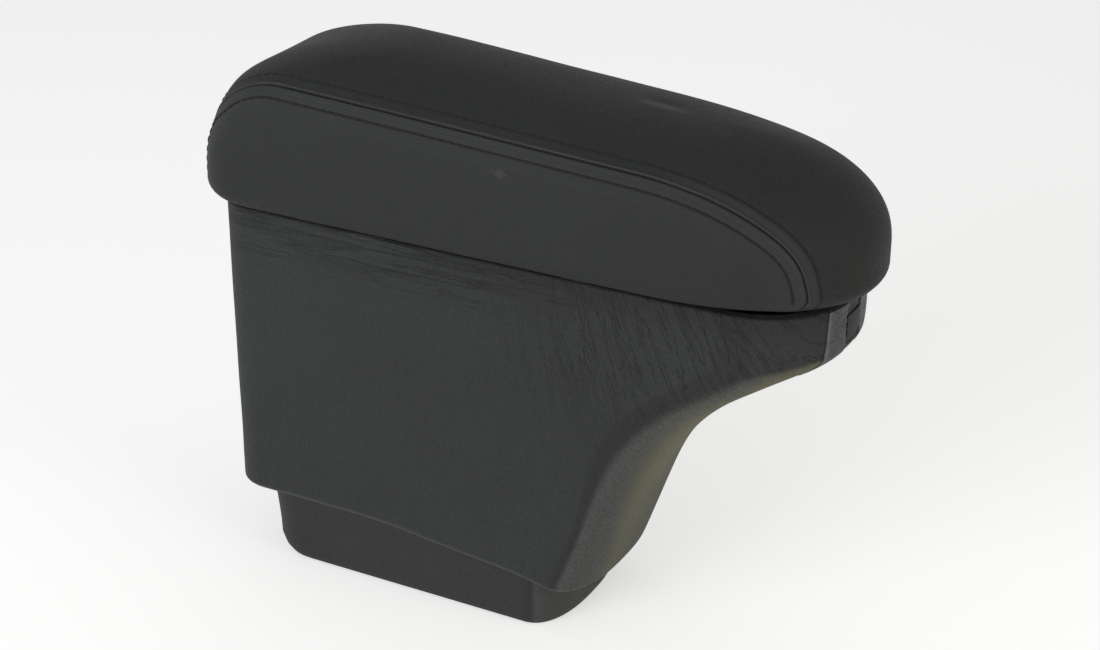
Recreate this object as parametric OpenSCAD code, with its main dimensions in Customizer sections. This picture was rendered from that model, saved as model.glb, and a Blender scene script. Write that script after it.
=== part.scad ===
// Car centre armrest: a padded, hinged lid on a wrapped storage box whose foot plugs into the centre console.
// The box is hollowed out under its nose to clear the handbrake lever.
// Origin: centre of the foot's underside. +X points to the front of the car, +Y to its left, +Z up.

/* [Lid] */
// Length of the padded lid, rear to nose
lid_length = 321; // [305:1:335]
// Width of the padded lid at its fullest
lid_width = 109; // [106:1:118]
// Height of the lid's crown over its underside, at the rear
lid_height = 82; // [72:0.5:86]
// How much lower the crown is at the nose than at the rear
lid_fall = 23; // [12:0.5:28]
// Radius of the lid's rear corners, seen from above
lid_rear_r = 26; // [18:1:34]
// Length over which the lid rounds in to its nose
lid_nose = 85; // [70:1:100]
// Distance from each side of the lid in to its seam
seam_in = 14.5; // [11:0.5:18]
// Thickness of the leatherette
cover_t = 1.2; // [0.8:0.1:1.8]
// Width of the leatherette turned in under the lid
hem_w = 14; // [10:1:18]
// Thickness of the lid's base board
board_t = 6; // [4:0.5:8]

/* [Box] */
// Overhang of the lid beyond the box at each side
side_overhang = 8; // [7:0.5:9.5]
// Overhang of the lid beyond the box at the rear
rear_overhang = 8.5; // [8:0.5:12]
// Overhang of the lid beyond the box at the nose
nose_overhang = 11; // [9:0.5:15]
// Height of the box rim above the foot's underside
rim_z = 187; // [182:1:195]
// Wall of the moulded box shell
wall = 4; // [3:0.5:4.5]
// Thickness of the felt lining
felt_t = 1.5; // [1:0.1:2]
// Thickness of the loose mat on the box floor
mat_t = 2; // [1.5:0.5:3]
// Radius of the box's rear corners, seen from above
box_rear_r = 18; // [12:1:24]
// Length over which the box rounds in to its nose
box_nose = 46; // [38:1:54]

/* [Handbrake hollow] */
// How far the nose reaches out over the box's front bottom edge
nose_reach = 109; // [104:1:113]
// Height of the box's front bottom edge
front_z = 24.5; // [22:0.5:28]
// Lean of the front face's lower part from upright, in degrees
front_lean = 20; // [15:1:24]
// Radius of the hollow above it
hollow_r = 140; // [125:1:150]
// Lean of the nose's underside from upright, in degrees
nose_lean = 57; // [52:1:62]
// Radius between the nose's underside and its front
nose_r = 12; // [8:1:16]
// Height of the nose's front wall, from the rim down to the underside
nose_depth = 26.8; // [25:0.2:29]
// Slant of the nose's front wall from upright, in degrees
nose_rake = 7; // [4:1:14]
// Length over which the lower front rounds in from the sides
front_round = 18; // [14:1:24]

/* [Foot] */
// How far the box stands out over the foot at the rear
rear_step = 16.5; // [14:0.5:22]
// How far the box stands out over the foot at the front
front_step = 14; // [11:0.5:18]
// How far the box stands out over the foot at each side
side_step = 6; // [5:0.5:8.5]
// Rise of the arch under the box, front to rear
arch = 15; // [12:0.5:17]
// Wall and floor of the foot tub
foot_wall = 3; // [2.5:0.5:3.5]
// Distance between the two console screw holes
console_pitch = 80; // [60:1:90]
// Diameter of each console screw hole
console_hole = 5.2; // [4:0.1:6]
// Distance from the foot's front and rear in to its screws
foot_screw_in = 23; // [21:0.5:29]
// Distance from the foot's sides in to its screws
foot_screw_side = 18.5; // [16.5:0.5:22]

/* [Hinge] */
// Width of the hinge across the box
hinge_w = 50; // [40:1:56]
// Thickness of the hinge leaves
leaf_t = 1.2; // [1:0.1:1.4]
// Length of each hinge leaf from the pin
leaf_l = 22; // [20:1:26]
// Diameter of the hinge pin
pin_d = 2; // [1.6:0.1:2.4]
// Gap between the box rim and the underside of the lid
lid_gap = 1.9; // [1.8:0.1:2.6]
// Diameter of the small screws
screw_d = 2.6; // [2.2:0.1:3]

/* [Latch] */
// Width of the latch body as a share of the box's width
latch_share = 0.43; // [0.41:0.01:0.45]
// Width of the push button
button_w = 14; // [12:0.5:18]
// Height of the latch body
latch_h = 16; // [14:1:18]
// Depth of the latch body into the nose
latch_l = 28; // [26:1:32]
// Distance from the rim down to the latch's middle
latch_drop = 13; // [11:0.5:15]
// Travel of the push button
press = 3; // [2.5:0.1:3.5]

/* [Hidden] */
$fn = 40;
hide = [0.14, 0.14, 0.15];
plastic = [0.08, 0.08, 0.08];
steel = [0.65, 0.66, 0.68];
over = 1;
slack = 0.15;
run = 0.3;

// Lengths, worked out from the lid: the foot is centred on the origin
foot_length = lid_length - rear_overhang - nose_overhang - nose_reach - rear_step - front_step;
box_back = foot_length / 2 + rear_step;
front_x = foot_length / 2 + front_step;

// Lid, worked out
lid_z = rim_z + lid_gap;
lid_x0 = -box_back - rear_overhang;
lid_x1 = lid_x0 + lid_length;
lid_half = lid_width / 2;
seam_offset = lid_half - seam_in;
lid_power = 2.2;
crown_power = 2.3;
crown_from = 17.5;
roll_in = 8;
roll_up = 9;
nose_pull = 1.3;
rear_pull = 1.95;

// Box, worked out
box_half = lid_half - side_overhang;
nose_x = lid_x1 - nose_overhang;
shell_in = cover_t + wall;
felt_in = shell_in + felt_t;
felt_drop = 3;
box_power = 2.4;
edge_r = 2.5;
heel_r = 6;
arch_from = -18;
round_from = 60;
round_to = rim_z - nose_depth;
// Length of the front face's lower part, so that the hollow and the underside end at the nose's front wall
front_run = (rim_z - nose_depth - front_z - hollow_r * (sin(nose_lean) - sin(front_lean))
  - (nose_x - nose_depth * tan(nose_rake) - front_x - hollow_r * (cos(front_lean) - cos(nose_lean))) / tan(nose_lean))
  / (cos(front_lean) - sin(front_lean) / tan(nose_lean));
bend_x = front_x + front_run * sin(front_lean);
bend_z = front_z + front_run * cos(front_lean);
slope_x = bend_x + hollow_r * (cos(front_lean) - cos(nose_lean));
slope_z = bend_z + hollow_r * (sin(nose_lean) - sin(front_lean));
// Where the underside's line and the nose wall's line would meet, and the centre of the rounding between them
meet_x = nose_x - nose_depth * tan(nose_rake);
meet_z = rim_z - nose_depth;
nose_cx = meet_x - nose_r * (sin(nose_lean) - sin(nose_rake)) / sin(nose_lean - nose_rake);
nose_cz = meet_z + nose_r * (cos(nose_rake) - cos(nose_lean)) / sin(nose_lean - nose_rake);

// Foot, worked out
foot_half = box_half - side_step;
foot_width = 2 * foot_half;
foot_screw_pitch = foot_length - 2 * foot_screw_in;
foot_screw_gauge = foot_width - 2 * foot_screw_side;
window_in = cover_t + foot_wall + 4;
foot_rear_r = 20;
foot_nose = 17;
foot_lean = 0.12;
foot_hem = 12;
rib_in = 36;
foot_top = front_z + arch + edge_r;
boss_d = 9;
console_boss_h = 3;
pad_h = 1;
foot_screw_d = 1.5 * screw_d;
foot_head_d = 8;
foot_head_t = 2;
mat_lift = 0.3;
access_d = 14;

// Hinge, worked out
knuckle_r = pin_d / 2 + leaf_t;
pin_x = -box_back - knuckle_r;
pin_z = lid_z - knuckle_r - 0.4;
knuckles = 5;
knuckle_l = hinge_w / knuckles;
screw_head_d = 2 * screw_d;
screw_head_t = 1.2;
hinge_screw_y = 0.3 * hinge_w;
hinge_screw_from = 15;
lid_screw_l = board_t;
box_screw_l = leaf_t + shell_in - 1;

// Latch, worked out
latch_w = latch_share * 2 * box_half;
latch_z = rim_z - latch_drop;
latch_proud = 0.8;
latch_front = nose_x - (rim_z - latch_z) * tan(nose_rake) + latch_proud;
latch_back = latch_front - latch_l;
latch_wall = 2.6;
front_curve = 80;
plate_w = latch_w - 2 * latch_wall - 2 * run;
cap_h = latch_h - 2 * latch_wall - 2 * run;
cap_t = 4;
plate_t = 3;
tongue_t = 3;
barb = 1.3;
bar_w = 2.5;
hook_slack = 0.4;
window_l = barb + tongue_t + press + 2 * run + hook_slack;
bar_in = 3.2;
window_x = latch_front - cap_t - bar_in;
bar_x = window_x - window_l - bar_w;
tongue_x = window_x - window_l + run;
window_w = 13;
rail_w = 4;
ear_w = 9;
ear_h = 8;
ear_t = 2.5;
ear_y = (latch_w + ear_w) / 2;
ear_in = 18;
ear_x = latch_front - ear_in;
ear_boss_d = 7;
boss_end = 1;
screw_end = 1.5;
latch_screw_l = nose_at(ear_y, latch_z) - cover_t - screw_end - ear_x;
ear_boss_l = nose_at(ear_y + ear_boss_d / 2, latch_z) - cover_t - boss_end - ear_x - ear_t;
button_proud = 0.6;
spring_d = 4.6;
wire_d = 0.7;
spring_turns = 5;

// Half of a plan outline from its rear edge to its nose: rear corner arc, straight side, rounded nose
rear_n = 6;
side_n = 4;
function half_outline(x0, x1, half, corner_r, nose, power, nose_n) = let (rear_r = min(corner_r, 0.96 * half)) concat(
  [for (i = [0:rear_n - 1]) let (t = 90 * i / (rear_n - 1)) [x0 + rear_r * (1 - cos(t)), half - rear_r * (1 - sin(t))]],
  [for (i = [1:side_n]) [x0 + rear_r + (x1 - nose - x0 - rear_r) * i / (side_n + 1), half]],
  [for (i = [0:nose_n - 1]) let (t = 90 * (1 - i / (nose_n - 0.5)))
    [x1 - nose + nose * pow(cos(t), 2 / power), half * pow(sin(t), 2 / power)]]
);

function mirrored(half) = concat(half, [for (i = [len(half) - 1:-1:0]) [half[i][0], -half[i][1]]]);

// A closed solid through rings that each hold the same number of points, mirror-symmetric about y = 0
module loft(rings) {
  n = len(rings[0]);
  last = len(rings) - 1;
  sides = [for (k = [0:last - 1], i = [0:n - 1]) let (j = (i + 1) % n)
    each [[k * n + i, k * n + j, (k + 1) * n + j], [k * n + i, (k + 1) * n + j, (k + 1) * n + i]]];
  bottom = [for (i = [0:n / 2 - 2]) each [[i, n - 1 - i, n - 2 - i], [i, n - 2 - i, i + 1]]];
  top = [for (t = bottom) [t[0] + last * n, t[2] + last * n, t[1] + last * n]];
  polyhedron([for (r = rings) each r], concat(sides, bottom, top), convexity = 6);
}

// Lid form, set in by d from the leatherette's outer face
lid_nose_n = 10;
crown_angles = [0.01, 14, 28, 41, 53, 64, 74, 82];
roll_steps = [0, 0.1, 0.4, 1];

function crown_at(x) = lid_height - lid_fall * (x - lid_x0) / lid_length;

function lid_outline(inset, shrink, pull = 1) = mirrored(half_outline(lid_x0 + inset * pull, lid_x1 - inset * nose_pull,
  lid_half - inset, max(lid_rear_r - shrink, 4), lid_nose - shrink, lid_power, lid_nose_n));

function lid_roll(rise, d) = let (a = 1 - rise / (roll_up - d)) (roll_in - d) * (1 - sqrt(max(0, 1 - a * a)));

module lid_form(d) {
  lower = [for (s = roll_steps) let (rise = s * (roll_up - d), inset = d + lid_roll(rise, d))
    [for (p = lid_outline(inset, d)) [p[0], p[1], lid_z + d + rise]]];
  upper = [for (a = crown_angles) let (inset = d + (lid_half - d) * (1 - pow(cos(a), 2 / crown_power)))
    [for (p = lid_outline(inset, inset * 0.2 + d * 0.8, d / inset + rear_pull * (1 - d / inset)))
      [p[0], p[1], lid_z + crown_from + (crown_at(p[0]) - crown_from - d) * pow(sin(a), 2 / crown_power)]]];
  loft(concat(lower, upper));
}

module lid_plate(inset, z, t) {
  translate([0, 0, z])
    linear_extrude(t) polygon(lid_outline(inset, inset));
}

// Box form: each level has its front point on the profile, set in by d, and its own rounding to the sides
box_nose_n = 8;
hollow_steps = 5;
nose_steps = 2;

function arch_at(x) = let (u = max(0, (x - arch_from) / (front_x - arch_from))) arch * (1 - min(1, u * u));

function underside_at(x) = front_z + arch_at(x) * (1 - 1 / (rim_z - front_z));

// Where the box's nose stands at height z, at a distance y from its centreline
function nose_at(y, z) = nose_x - (rim_z - z) * tan(nose_rake)
  - box_nose * (1 - pow(1 - pow(y / box_half, box_power), 1 / box_power));

function ease(u) = let (v = min(1, max(0, u))) v * v * (3 - 2 * v);

function round_at(z) = front_round + (box_nose - front_round) * ease((z - round_from) / (round_to - round_from));

function heel(rise, r) = rise >= r ? 0 : r - sqrt(r * r - (r - rise) * (r - rise));

// Front profile points as [x, z]: lower face, hollow, underside, nose rounding, front wall
function front_profile(d, top) = concat(
  [for (s = [0, 0.16, 0.5]) let (l = front_run * s)
    [front_x + l * sin(front_lean) - d * cos(front_lean), front_z + l * cos(front_lean) + d * sin(front_lean)]],
  [for (i = [0:hollow_steps]) let (a = front_lean + (nose_lean - front_lean) * i / hollow_steps, r = hollow_r + d)
    [bend_x + hollow_r * cos(front_lean) - r * cos(a), bend_z - hollow_r * sin(front_lean) + r * sin(a)]],
  [for (i = [0:nose_steps]) let (a = nose_lean + (nose_rake - nose_lean) * i / nose_steps, r = nose_r - d)
    [nose_cx + r * cos(a), nose_cz - r * sin(a)]],
  [[nose_x - (rim_z - top) * tan(nose_rake) - d / cos(nose_rake), top]]
);

function box_ring(x, z, d, base, rise) = let (
    fade = 1 - (z - front_z) / (rim_z - front_z),
    side = d + heel(rise, edge_r),
    back = d + heel(rise, heel_r),
    nose = max(round_at(z) - d, 6)
  )
  [for (p = mirrored(half_outline(back - box_back, x - heel(rise, edge_r), box_half - side,
    max(box_rear_r - d, 3), nose, box_power, box_nose_n))) [p[0], p[1], z + arch_at(p[0]) * fade]];

// The box form set in by d at its sides, from base above its underside up to top
module box_form(d, base, top) {
  floor_z = front_z + base;
  levels = [for (p = front_profile(d, top)) if (p[1] > floor_z + heel_r * 1.2) p];
  foot_x = front_x + base * tan(front_lean) - d / cos(front_lean);
  lean = tan(front_lean);
  low = [for (rise = [0, 0.3 * edge_r, edge_r, heel_r]) [foot_x + rise * lean, floor_z + rise, rise]];
  loft(concat(
    [for (l = low) box_ring(l[0], l[1], d, base, l[2])],
    [for (l = levels) box_ring(l[0], l[1], d, base, heel_r)]
  ));
}

function rim_outline(d) = mirrored(half_outline(d - box_back, nose_x - d, box_half - d, max(box_rear_r - d, 3),
  max(box_nose - d, 6), box_power, box_nose_n));

module rim_plate(d, z, t) {
  translate([0, 0, z])
    linear_extrude(t) polygon(rim_outline(d));
}

// Foot form, set in by d
foot_nose_n = 7;
foot_levels = [[0, 4], [1.2, 2.4], [4, 1], [9, 0.2]];

function foot_outline(inset, d, z = 0) = mirrored(half_outline(inset - foot_length / 2 - z * foot_lean,
  foot_length / 2 - inset, foot_half - inset + z * foot_lean / 4,
  foot_rear_r - d, foot_nose - d, box_power, foot_nose_n));

module foot_form(d, base) {
  loft(concat(
    [for (l = foot_levels) [for (p = foot_outline(d + l[1], d, l[0] + base)) [p[0], p[1], l[0] + base]]],
    [[for (p = foot_outline(d, d, foot_top)) [p[0], p[1], foot_top]]]
  ));
}

module foot_plate(inset, z, t) {
  translate([0, 0, z])
    linear_extrude(t) polygon(foot_outline(inset, inset));
}

module foot_screw_spots() {
  for (x = [-0.5, 0.5], y = [-0.5, 0.5])
    translate([x * foot_screw_pitch, y * foot_screw_gauge, 0]) children();
}

module console_spots() {
  for (x = [-0.5, 0.5])
    translate([x * console_pitch, 0, 0]) children();
}

// Pan-head screw along +Z: the underside of its head at the origin, its shank above
module screw(l) {
  translate([0, 0, -screw_head_t / 4])
    cylinder(d = screw_d, h = l - screw_d / 2 + screw_head_t / 4);
  translate([0, 0, l - screw_d / 2])
    cylinder(d1 = screw_d, d2 = screw_d * 0.3, h = screw_d / 2);
  difference() {
    translate([0, 0, -screw_head_t])
      cylinder(d1 = screw_head_d * 0.8, d2 = screw_head_d, h = screw_head_t);
    for (a = [0, 90])
      rotate(a)
        translate([0, 0, -screw_head_t])
          cube([screw_head_d * 0.5, 0.6, screw_head_t], center = true);
  }
}

module screw_hole(l) {
  translate([0, 0, -over])
    cylinder(d = screw_d + 2 * slack, h = l + over + slack);
}

seat_z = front_z + arch + shell_in + pad_h;
foot_screw_l = 22;

// Box: moulded shell with floor, screw pads and the opening for the latch
module box_shell() color(plastic) {
  difference() {
    union() {
      difference() {
        box_form(cover_t, cover_t, rim_z - cover_t);
        box_form(shell_in, shell_in, rim_z + over);
      }
      for (x = [-0.5, 0.5], y = [-0.5, 0.5]) {
        pad_z = underside_at(x * foot_screw_pitch) + shell_in - 1;
        translate([x * foot_screw_pitch, y * foot_screw_gauge, pad_z])
          cylinder(d = boss_d + 3, h = seat_z - pad_z);
      }
      for (y = [-1, 1])
        translate([ear_x + ear_t, y * ear_y, latch_z])
          rotate([0, 90, 0]) cylinder(d = ear_boss_d, h = ear_boss_l);
    }
    foot_screw_spots()
      translate([0, 0, seat_z - foot_screw_l]) cylinder(d = foot_screw_d + 2 * slack, h = 2 * foot_screw_l);
    console_spots() cylinder(d = access_d, h = seat_z);
    latch_hole();
    latch_screw_spots() rotate([0, 90, 0]) screw_hole(latch_screw_l);
    hinge_box_spots() rotate([0, 90, 0]) screw_hole(box_screw_l);
  }
}

module latch_hole() {
  translate([ear_x + ear_t, -latch_w / 2 - slack, latch_z - latch_h / 2 - slack])
    cube([latch_l, latch_w + 2 * slack, latch_h + 2 * slack]);
}

// Leatherette wrap of the box, turned in over the rim and under the bottom edge
module box_cover() color(hide) difference() {
  box_form(0, 0, rim_z);
  box_form(cover_t, cover_t, rim_z - cover_t);
  rim_plate(shell_in, rim_z - cover_t - over, 3 * over);
  foot_plate(window_in, 0, foot_top + cover_t);
  latch_hole();
  hinge_box_spots() rotate([0, 90, 0]) screw_hole(box_screw_l);
}

module box_felt() color([0.1, 0.1, 0.1]) difference() {
  box_form(shell_in, shell_in, rim_z - felt_drop);
  box_form(felt_in, shell_in - over, rim_z + over);
  translate([latch_back - 2 * over, -latch_w / 2 - ear_w - 3 * over, latch_z - latch_h / 2 - 3 * over])
    cube([2 * latch_l, latch_w + 2 * ear_w + 6 * over, 2 * latch_h]);
}

module floor_mat() color([0.16, 0.16, 0.16]) difference() {
  d = felt_in + run;
  mat_x = front_x - d / cos(front_lean);
  loft([for (rise = [mat_lift, mat_lift + mat_t]) box_ring(mat_x, front_z + shell_in + rise, d, shell_in, 0)]);
  foot_screw_spots() cylinder(d = boss_d + 5, h = rim_z);
}

// All that lies above the underside of the box form set in by d, over the foot
module above_underside(d) {
  ring = box_ring(front_x + d * tan(front_lean) - d / cos(front_lean), front_z + d, d, d, 0);
  last = len(ring) / 2 - 1;
  line = [for (i = [0:last]) [ring[i][0], ring[i][2]]];
  translate([0, lid_half, 0])
    rotate([90, 0, 0])
      linear_extrude(lid_width) polygon(concat(line, [[line[last][0], rim_z], [line[0][0], rim_z]]));
}

// Foot: open tub with a flat underside, its rim against the wrap, two ribs, and bosses that reach the box
module foot_tub() color(plastic) difference() {
  union() {
    difference() {
      union() {
        foot_form(cover_t, cover_t);
        foot_plate(foot_hem + slack, 0, foot_wall);
      }
      difference() {
        foot_form(cover_t + foot_wall, foot_wall);
        for (x = [-0.5, 0.5])
          translate([x * (console_pitch - rib_in), 0, foot_top / 4])
            cube([foot_wall, foot_width, foot_top / 2], center = true);
      }
      above_underside(0);
    }
    difference() {
      foot_screw_spots() cylinder(d = boss_d, h = foot_top + cover_t);
      above_underside(cover_t);
    }
    console_spots() cylinder(d = console_hole + 8, h = foot_wall + console_boss_h);
  }
  console_spots() translate([0, 0, -over]) cylinder(d = console_hole, h = foot_top);
  foot_screw_spots()
    translate([0, 0, seat_z - foot_screw_l - slack]) cylinder(d = foot_screw_d + 2 * slack, h = rim_z);
}

module foot_cover() color(hide) difference() {
  foot_form(0, 0);
  foot_form(cover_t, cover_t);
  foot_plate(foot_hem, -over, foot_top);
  above_underside(0);
}

module foot_screws() color(steel) {
  foot_screw_spots()
    translate([0, 0, seat_z])
      rotate([180, 0, 0]) foot_screw();
}

module foot_screw() {
  translate([0, 0, -foot_head_t / 4])
    cylinder(d = foot_screw_d, h = foot_screw_l - foot_head_t * 3 / 4);
  translate([0, 0, foot_screw_l - foot_head_t])
    cylinder(d1 = foot_screw_d, d2 = 1, h = foot_head_t);
  difference() {
    translate([0, 0, -foot_head_t]) cylinder(d1 = 0.8 * foot_head_d, d2 = foot_head_d, h = foot_head_t);
    for (a = [0, 90])
      rotate(a)
        translate([0, 0, -foot_head_t]) cube([0.55 * foot_head_d, 1, foot_head_t], center = true);
  }
}

// Hinge: two leaves on one pin behind the box's rear face
module knuckle_row(first) {
  for (k = [first:2:knuckles - 1])
    translate([pin_x, -hinge_w / 2 + k * knuckle_l + slack, pin_z])
      rotate([-90, 0, 0]) cylinder(r = knuckle_r, h = knuckle_l - 2 * slack);
}

module knuckle_gaps(first) {
  for (k = [first:2:knuckles - 1])
    translate([pin_x, -hinge_w / 2 + k * knuckle_l - slack, pin_z])
      rotate([-90, 0, 0]) cylinder(r = knuckle_r + run, h = knuckle_l + 2 * slack);
}

module pin_bore() {
  translate([pin_x, -hinge_w, pin_z])
    rotate([-90, 0, 0]) cylinder(d = pin_d + slack, h = 2 * hinge_w);
}

module hinge_box_spots() {
  for (y = [-hinge_screw_y, hinge_screw_y])
    translate([-box_back - leaf_t, y, pin_z - hinge_screw_from]) children();
}

module hinge_lid_spots() {
  for (y = [-hinge_screw_y, hinge_screw_y])
    translate([pin_x + hinge_screw_from, y, lid_z - leaf_t]) children();
}

module hinge_box_leaf() color(steel) difference() {
  union() {
    difference() {
      translate([-box_back - leaf_t, -hinge_w / 2, pin_z - leaf_l])
        cube([leaf_t, hinge_w, leaf_l]);
      knuckle_gaps(1);
    }
    knuckle_row(0);
  }
  pin_bore();
  hinge_box_spots() rotate([0, 90, 0]) screw_hole(leaf_t + over);
}

module hinge_lid_leaf() color(steel) difference() {
  union() {
    difference() {
      translate([pin_x, -hinge_w / 2, lid_z - leaf_t])
        cube([leaf_l, hinge_w, leaf_t]);
      knuckle_gaps(0);
    }
    knuckle_row(1);
  }
  pin_bore();
  hinge_lid_spots() screw_hole(leaf_t + over);
}

module hinge_pin() color(steel) {
  translate([pin_x, -hinge_w / 2 - 0.6, pin_z])
    rotate([-90, 0, 0]) cylinder(d = pin_d, h = hinge_w + 1.2);
  for (y = [-1, 1])
    translate([pin_x, y * (hinge_w / 2 + 0.6), pin_z])
      sphere(d = pin_d * 1.3);
}

module hinge_box_screws() color(steel) hinge_box_spots() rotate([0, 90, 0]) screw(box_screw_l);

module hinge_lid_screws() color(steel) hinge_lid_spots() screw(lid_screw_l);

// Latch: a body in the nose's front wall, a push button whose plate holds the lid's hook, and its spring
module latch_screw_spots() {
  for (y = [-1, 1])
    translate([ear_x, y * ear_y, latch_z]) children();
}

module latch_body() color(plastic) {
  difference() {
    union() {
      intersection() {
        translate([latch_back, -latch_w / 2, latch_z - latch_h / 2])
          cube([latch_l, latch_w, latch_h]);
        translate([latch_front - front_curve, 0, latch_z - latch_h])
          cylinder(r = front_curve, h = 2 * latch_h, $fn = 200);
      }
      translate([ear_x, -latch_w / 2 - ear_w, latch_z - ear_h / 2])
        cube([ear_t, latch_w + 2 * ear_w, ear_h]);
    }
    translate([latch_back + latch_wall, -latch_w / 2 + latch_wall, latch_z - latch_h / 2 + latch_wall])
      cube([latch_l - latch_wall - cap_t, latch_w - 2 * latch_wall, latch_h - 2 * latch_wall]);
    translate([latch_front - cap_t - over, -button_w / 2 - run, latch_z - cap_h / 2 - run])
      cube([latch_l, button_w + 2 * run, cap_h + 2 * run]);
    translate([bar_x - over, -window_w / 2 - over, latch_z])
      cube([window_x - bar_x + 2 * over, window_w + 2 * over, latch_h]);
    latch_screw_spots() translate([-over, 0, 0]) rotate([0, 90, 0]) screw_hole(ear_t + over);
  }
  latch_rails();
}

// Two rails that the button's plate slides on
module latch_rails() {
  rail_h = latch_h / 2 - latch_wall - plate_t / 2 - run;
  for (y = [-1, 1])
    translate([latch_back + latch_wall - slack, y * (latch_w / 2 - latch_wall) - (y < 0 ? slack : rail_w),
        latch_z - latch_h / 2 + latch_wall - slack])
      cube([latch_l - latch_wall - cap_t - press - 2 * over, rail_w + slack, rail_h + slack]);
}

module latch_button() color(plastic) {
  intersection() {
    translate([latch_front - cap_t - run - over, -button_w / 2, latch_z - cap_h / 2])
      cube([latch_l, button_w, cap_h]);
    translate([latch_front + button_proud - front_curve, 0, latch_z - latch_h])
      cylinder(r = front_curve, h = 2 * latch_h, $fn = 200);
  }
  difference() {
    translate([bar_x, -plate_w / 2, latch_z - plate_t / 2])
      cube([latch_front - cap_t - run - bar_x, plate_w, plate_t]);
    translate([window_x - window_l, -window_w / 2, latch_z - plate_t])
      cube([window_l, window_w, 2 * plate_t]);
  }
}

function spring_point(a, x0, x1) = let (r = (spring_d - wire_d) / 2)
  [x0 + (x1 - x0) * a / (360 * spring_turns), r * cos(a), r * sin(a)];

module latch_spring() color(steel) {
  x0 = latch_back + latch_wall + wire_d / 2;
  x1 = bar_x - wire_d / 2;
  steps = 12 * spring_turns;
  sides = 6;
  points = [for (i = [0:steps], s = [0:sides - 1]) let (
      a = i * 360 * spring_turns / steps,
      p = spring_point(a, x0, x1),
      b = s * 360 / sides,
      u = wire_d / 2 * cos(b),
      v = wire_d / 2 * sin(b)
    )
    [p[0] + v, p[1] + u * cos(a), p[2] + latch_z + u * sin(a)]];
  faces = concat(
    [for (i = [0:steps - 1], s = [0:sides - 1]) let (t = (s + 1) % sides)
      each [[i * sides + s, i * sides + t, (i + 1) * sides + t], [i * sides + s, (i + 1) * sides + t, (i + 1) * sides + s]]],
    [[for (s = [sides - 1:-1:0]) s]],
    [[for (s = [0:sides - 1]) steps * sides + s]]
  );
  polyhedron(points, faces, convexity = 8);
}

module latch_screws() color(steel) latch_screw_spots() rotate([0, 90, 0]) screw(latch_screw_l);

// Soft buffers on the rim that the lid comes down on
bumper_l = 12;
bumper_w = 2.5;
module rim_bumpers() color([0.05, 0.05, 0.05]) {
  for (x = [-0.45, 0.95], y = [-1, 1])
    translate([x * box_back, y * (box_half - shell_in / 2), rim_z]) {
      translate([-bumper_l / 2, -bumper_w / 2, 0]) cube([bumper_l, bumper_w, lid_gap - run]);
      for (e = [-0.5, 0.5])
        translate([e * bumper_l, 0, 0]) cylinder(d = bumper_w, h = lid_gap - run);
    }
}

// Lid: base board, foam, three panels of leatherette, lining and the hook of the latch
board_in = roll_in + cover_t + run;
hem_in = roll_in + hem_w;
hem_from = hem_in + over;
hem_to = 50;

module lid_board() color([0.5, 0.4, 0.28]) difference() {
  lid_plate(board_in, lid_z + cover_t, board_t);
  hinge_lid_spots() screw_hole(lid_screw_l + over);
  catch_spots() screw_hole(board_t + over);
}

module lid_foam() color([0.8, 0.78, 0.6]) difference() {
  lid_form(cover_t);
  lid_plate(board_in, lid_z, cover_t + board_t);
}

module lid_wrap() difference() {
  lid_form(0);
  lid_form(cover_t);
  lid_plate(hem_in, lid_z - over, over + cover_t * 2);
  hinge_lid_spots() screw_hole(board_t);
  catch_seat();
}

// Where a side panel is: outside its seam, and turned in under the lid's side
module side_zone(side) {
  translate([lid_x0 - over, side < 0 ? -lid_width : seam_offset, lid_z - over])
    cube([lid_length + 2 * over, lid_width - seam_offset, lid_height + 2 * over]);
  translate([lid_x0 + hem_from, side < 0 ? -seam_offset - over : 0, lid_z - over])
    cube([lid_length - hem_from - hem_to, seam_offset + over, over + cover_t]);
}

module lid_cover_top() color(hide) difference() {
  lid_wrap();
  side_zone(-1);
  side_zone(1);
}

module lid_cover_right() color(hide) intersection() {
  lid_wrap();
  side_zone(-1);
}

module lid_cover_left() color(hide) intersection() {
  lid_wrap();
  side_zone(1);
}

catch_l = 16;
catch_w = 28;
catch_x = tongue_x + tongue_t / 2 - catch_l / 2;
hook_h = 3;

module catch_spots() {
  for (y = [-1, 1])
    translate([catch_x + catch_l / 2, y * (catch_w / 2 - 4), lid_z]) children();
}

// The hook's plate lies in the lining and the hem, against the board
module catch_seat() {
  translate([catch_x - slack, -catch_w / 2 - slack, lid_z - over])
    cube([catch_l + 2 * slack, catch_w + 2 * slack, over + cover_t]);
}

module lid_lining() color([0.1, 0.1, 0.1]) difference() {
  lid_plate(hem_in + slack, lid_z, cover_t);
  hinge_lid_spots() screw_hole(board_t);
  catch_seat();
}

module lid_catch() color(plastic) {
  hook_z = latch_z - plate_t / 2 - run;
  difference() {
    translate([catch_x, -catch_w / 2, lid_z])
      cube([catch_l, catch_w, cover_t]);
    catch_spots() translate([0, 0, -over]) cylinder(d = screw_d + 2 * slack, h = cover_t + 2 * over);
  }
  translate([tongue_x, -window_w / 2 + 1, hook_z - hook_h])
    cube([tongue_t, window_w - 2, lid_z - hook_z + hook_h + cover_t / 2]);
  translate([tongue_x + slack, window_w / 2 - 1, hook_z - hook_h])
    rotate([90, 0, 0])
      linear_extrude(window_w - 2)
        polygon([[0, 0], [0, hook_h], [-barb - run - slack, hook_h], [-barb - run - slack, hook_h - 1]]);
}

module catch_screws() color(steel) catch_spots() screw(board_t);

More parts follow.
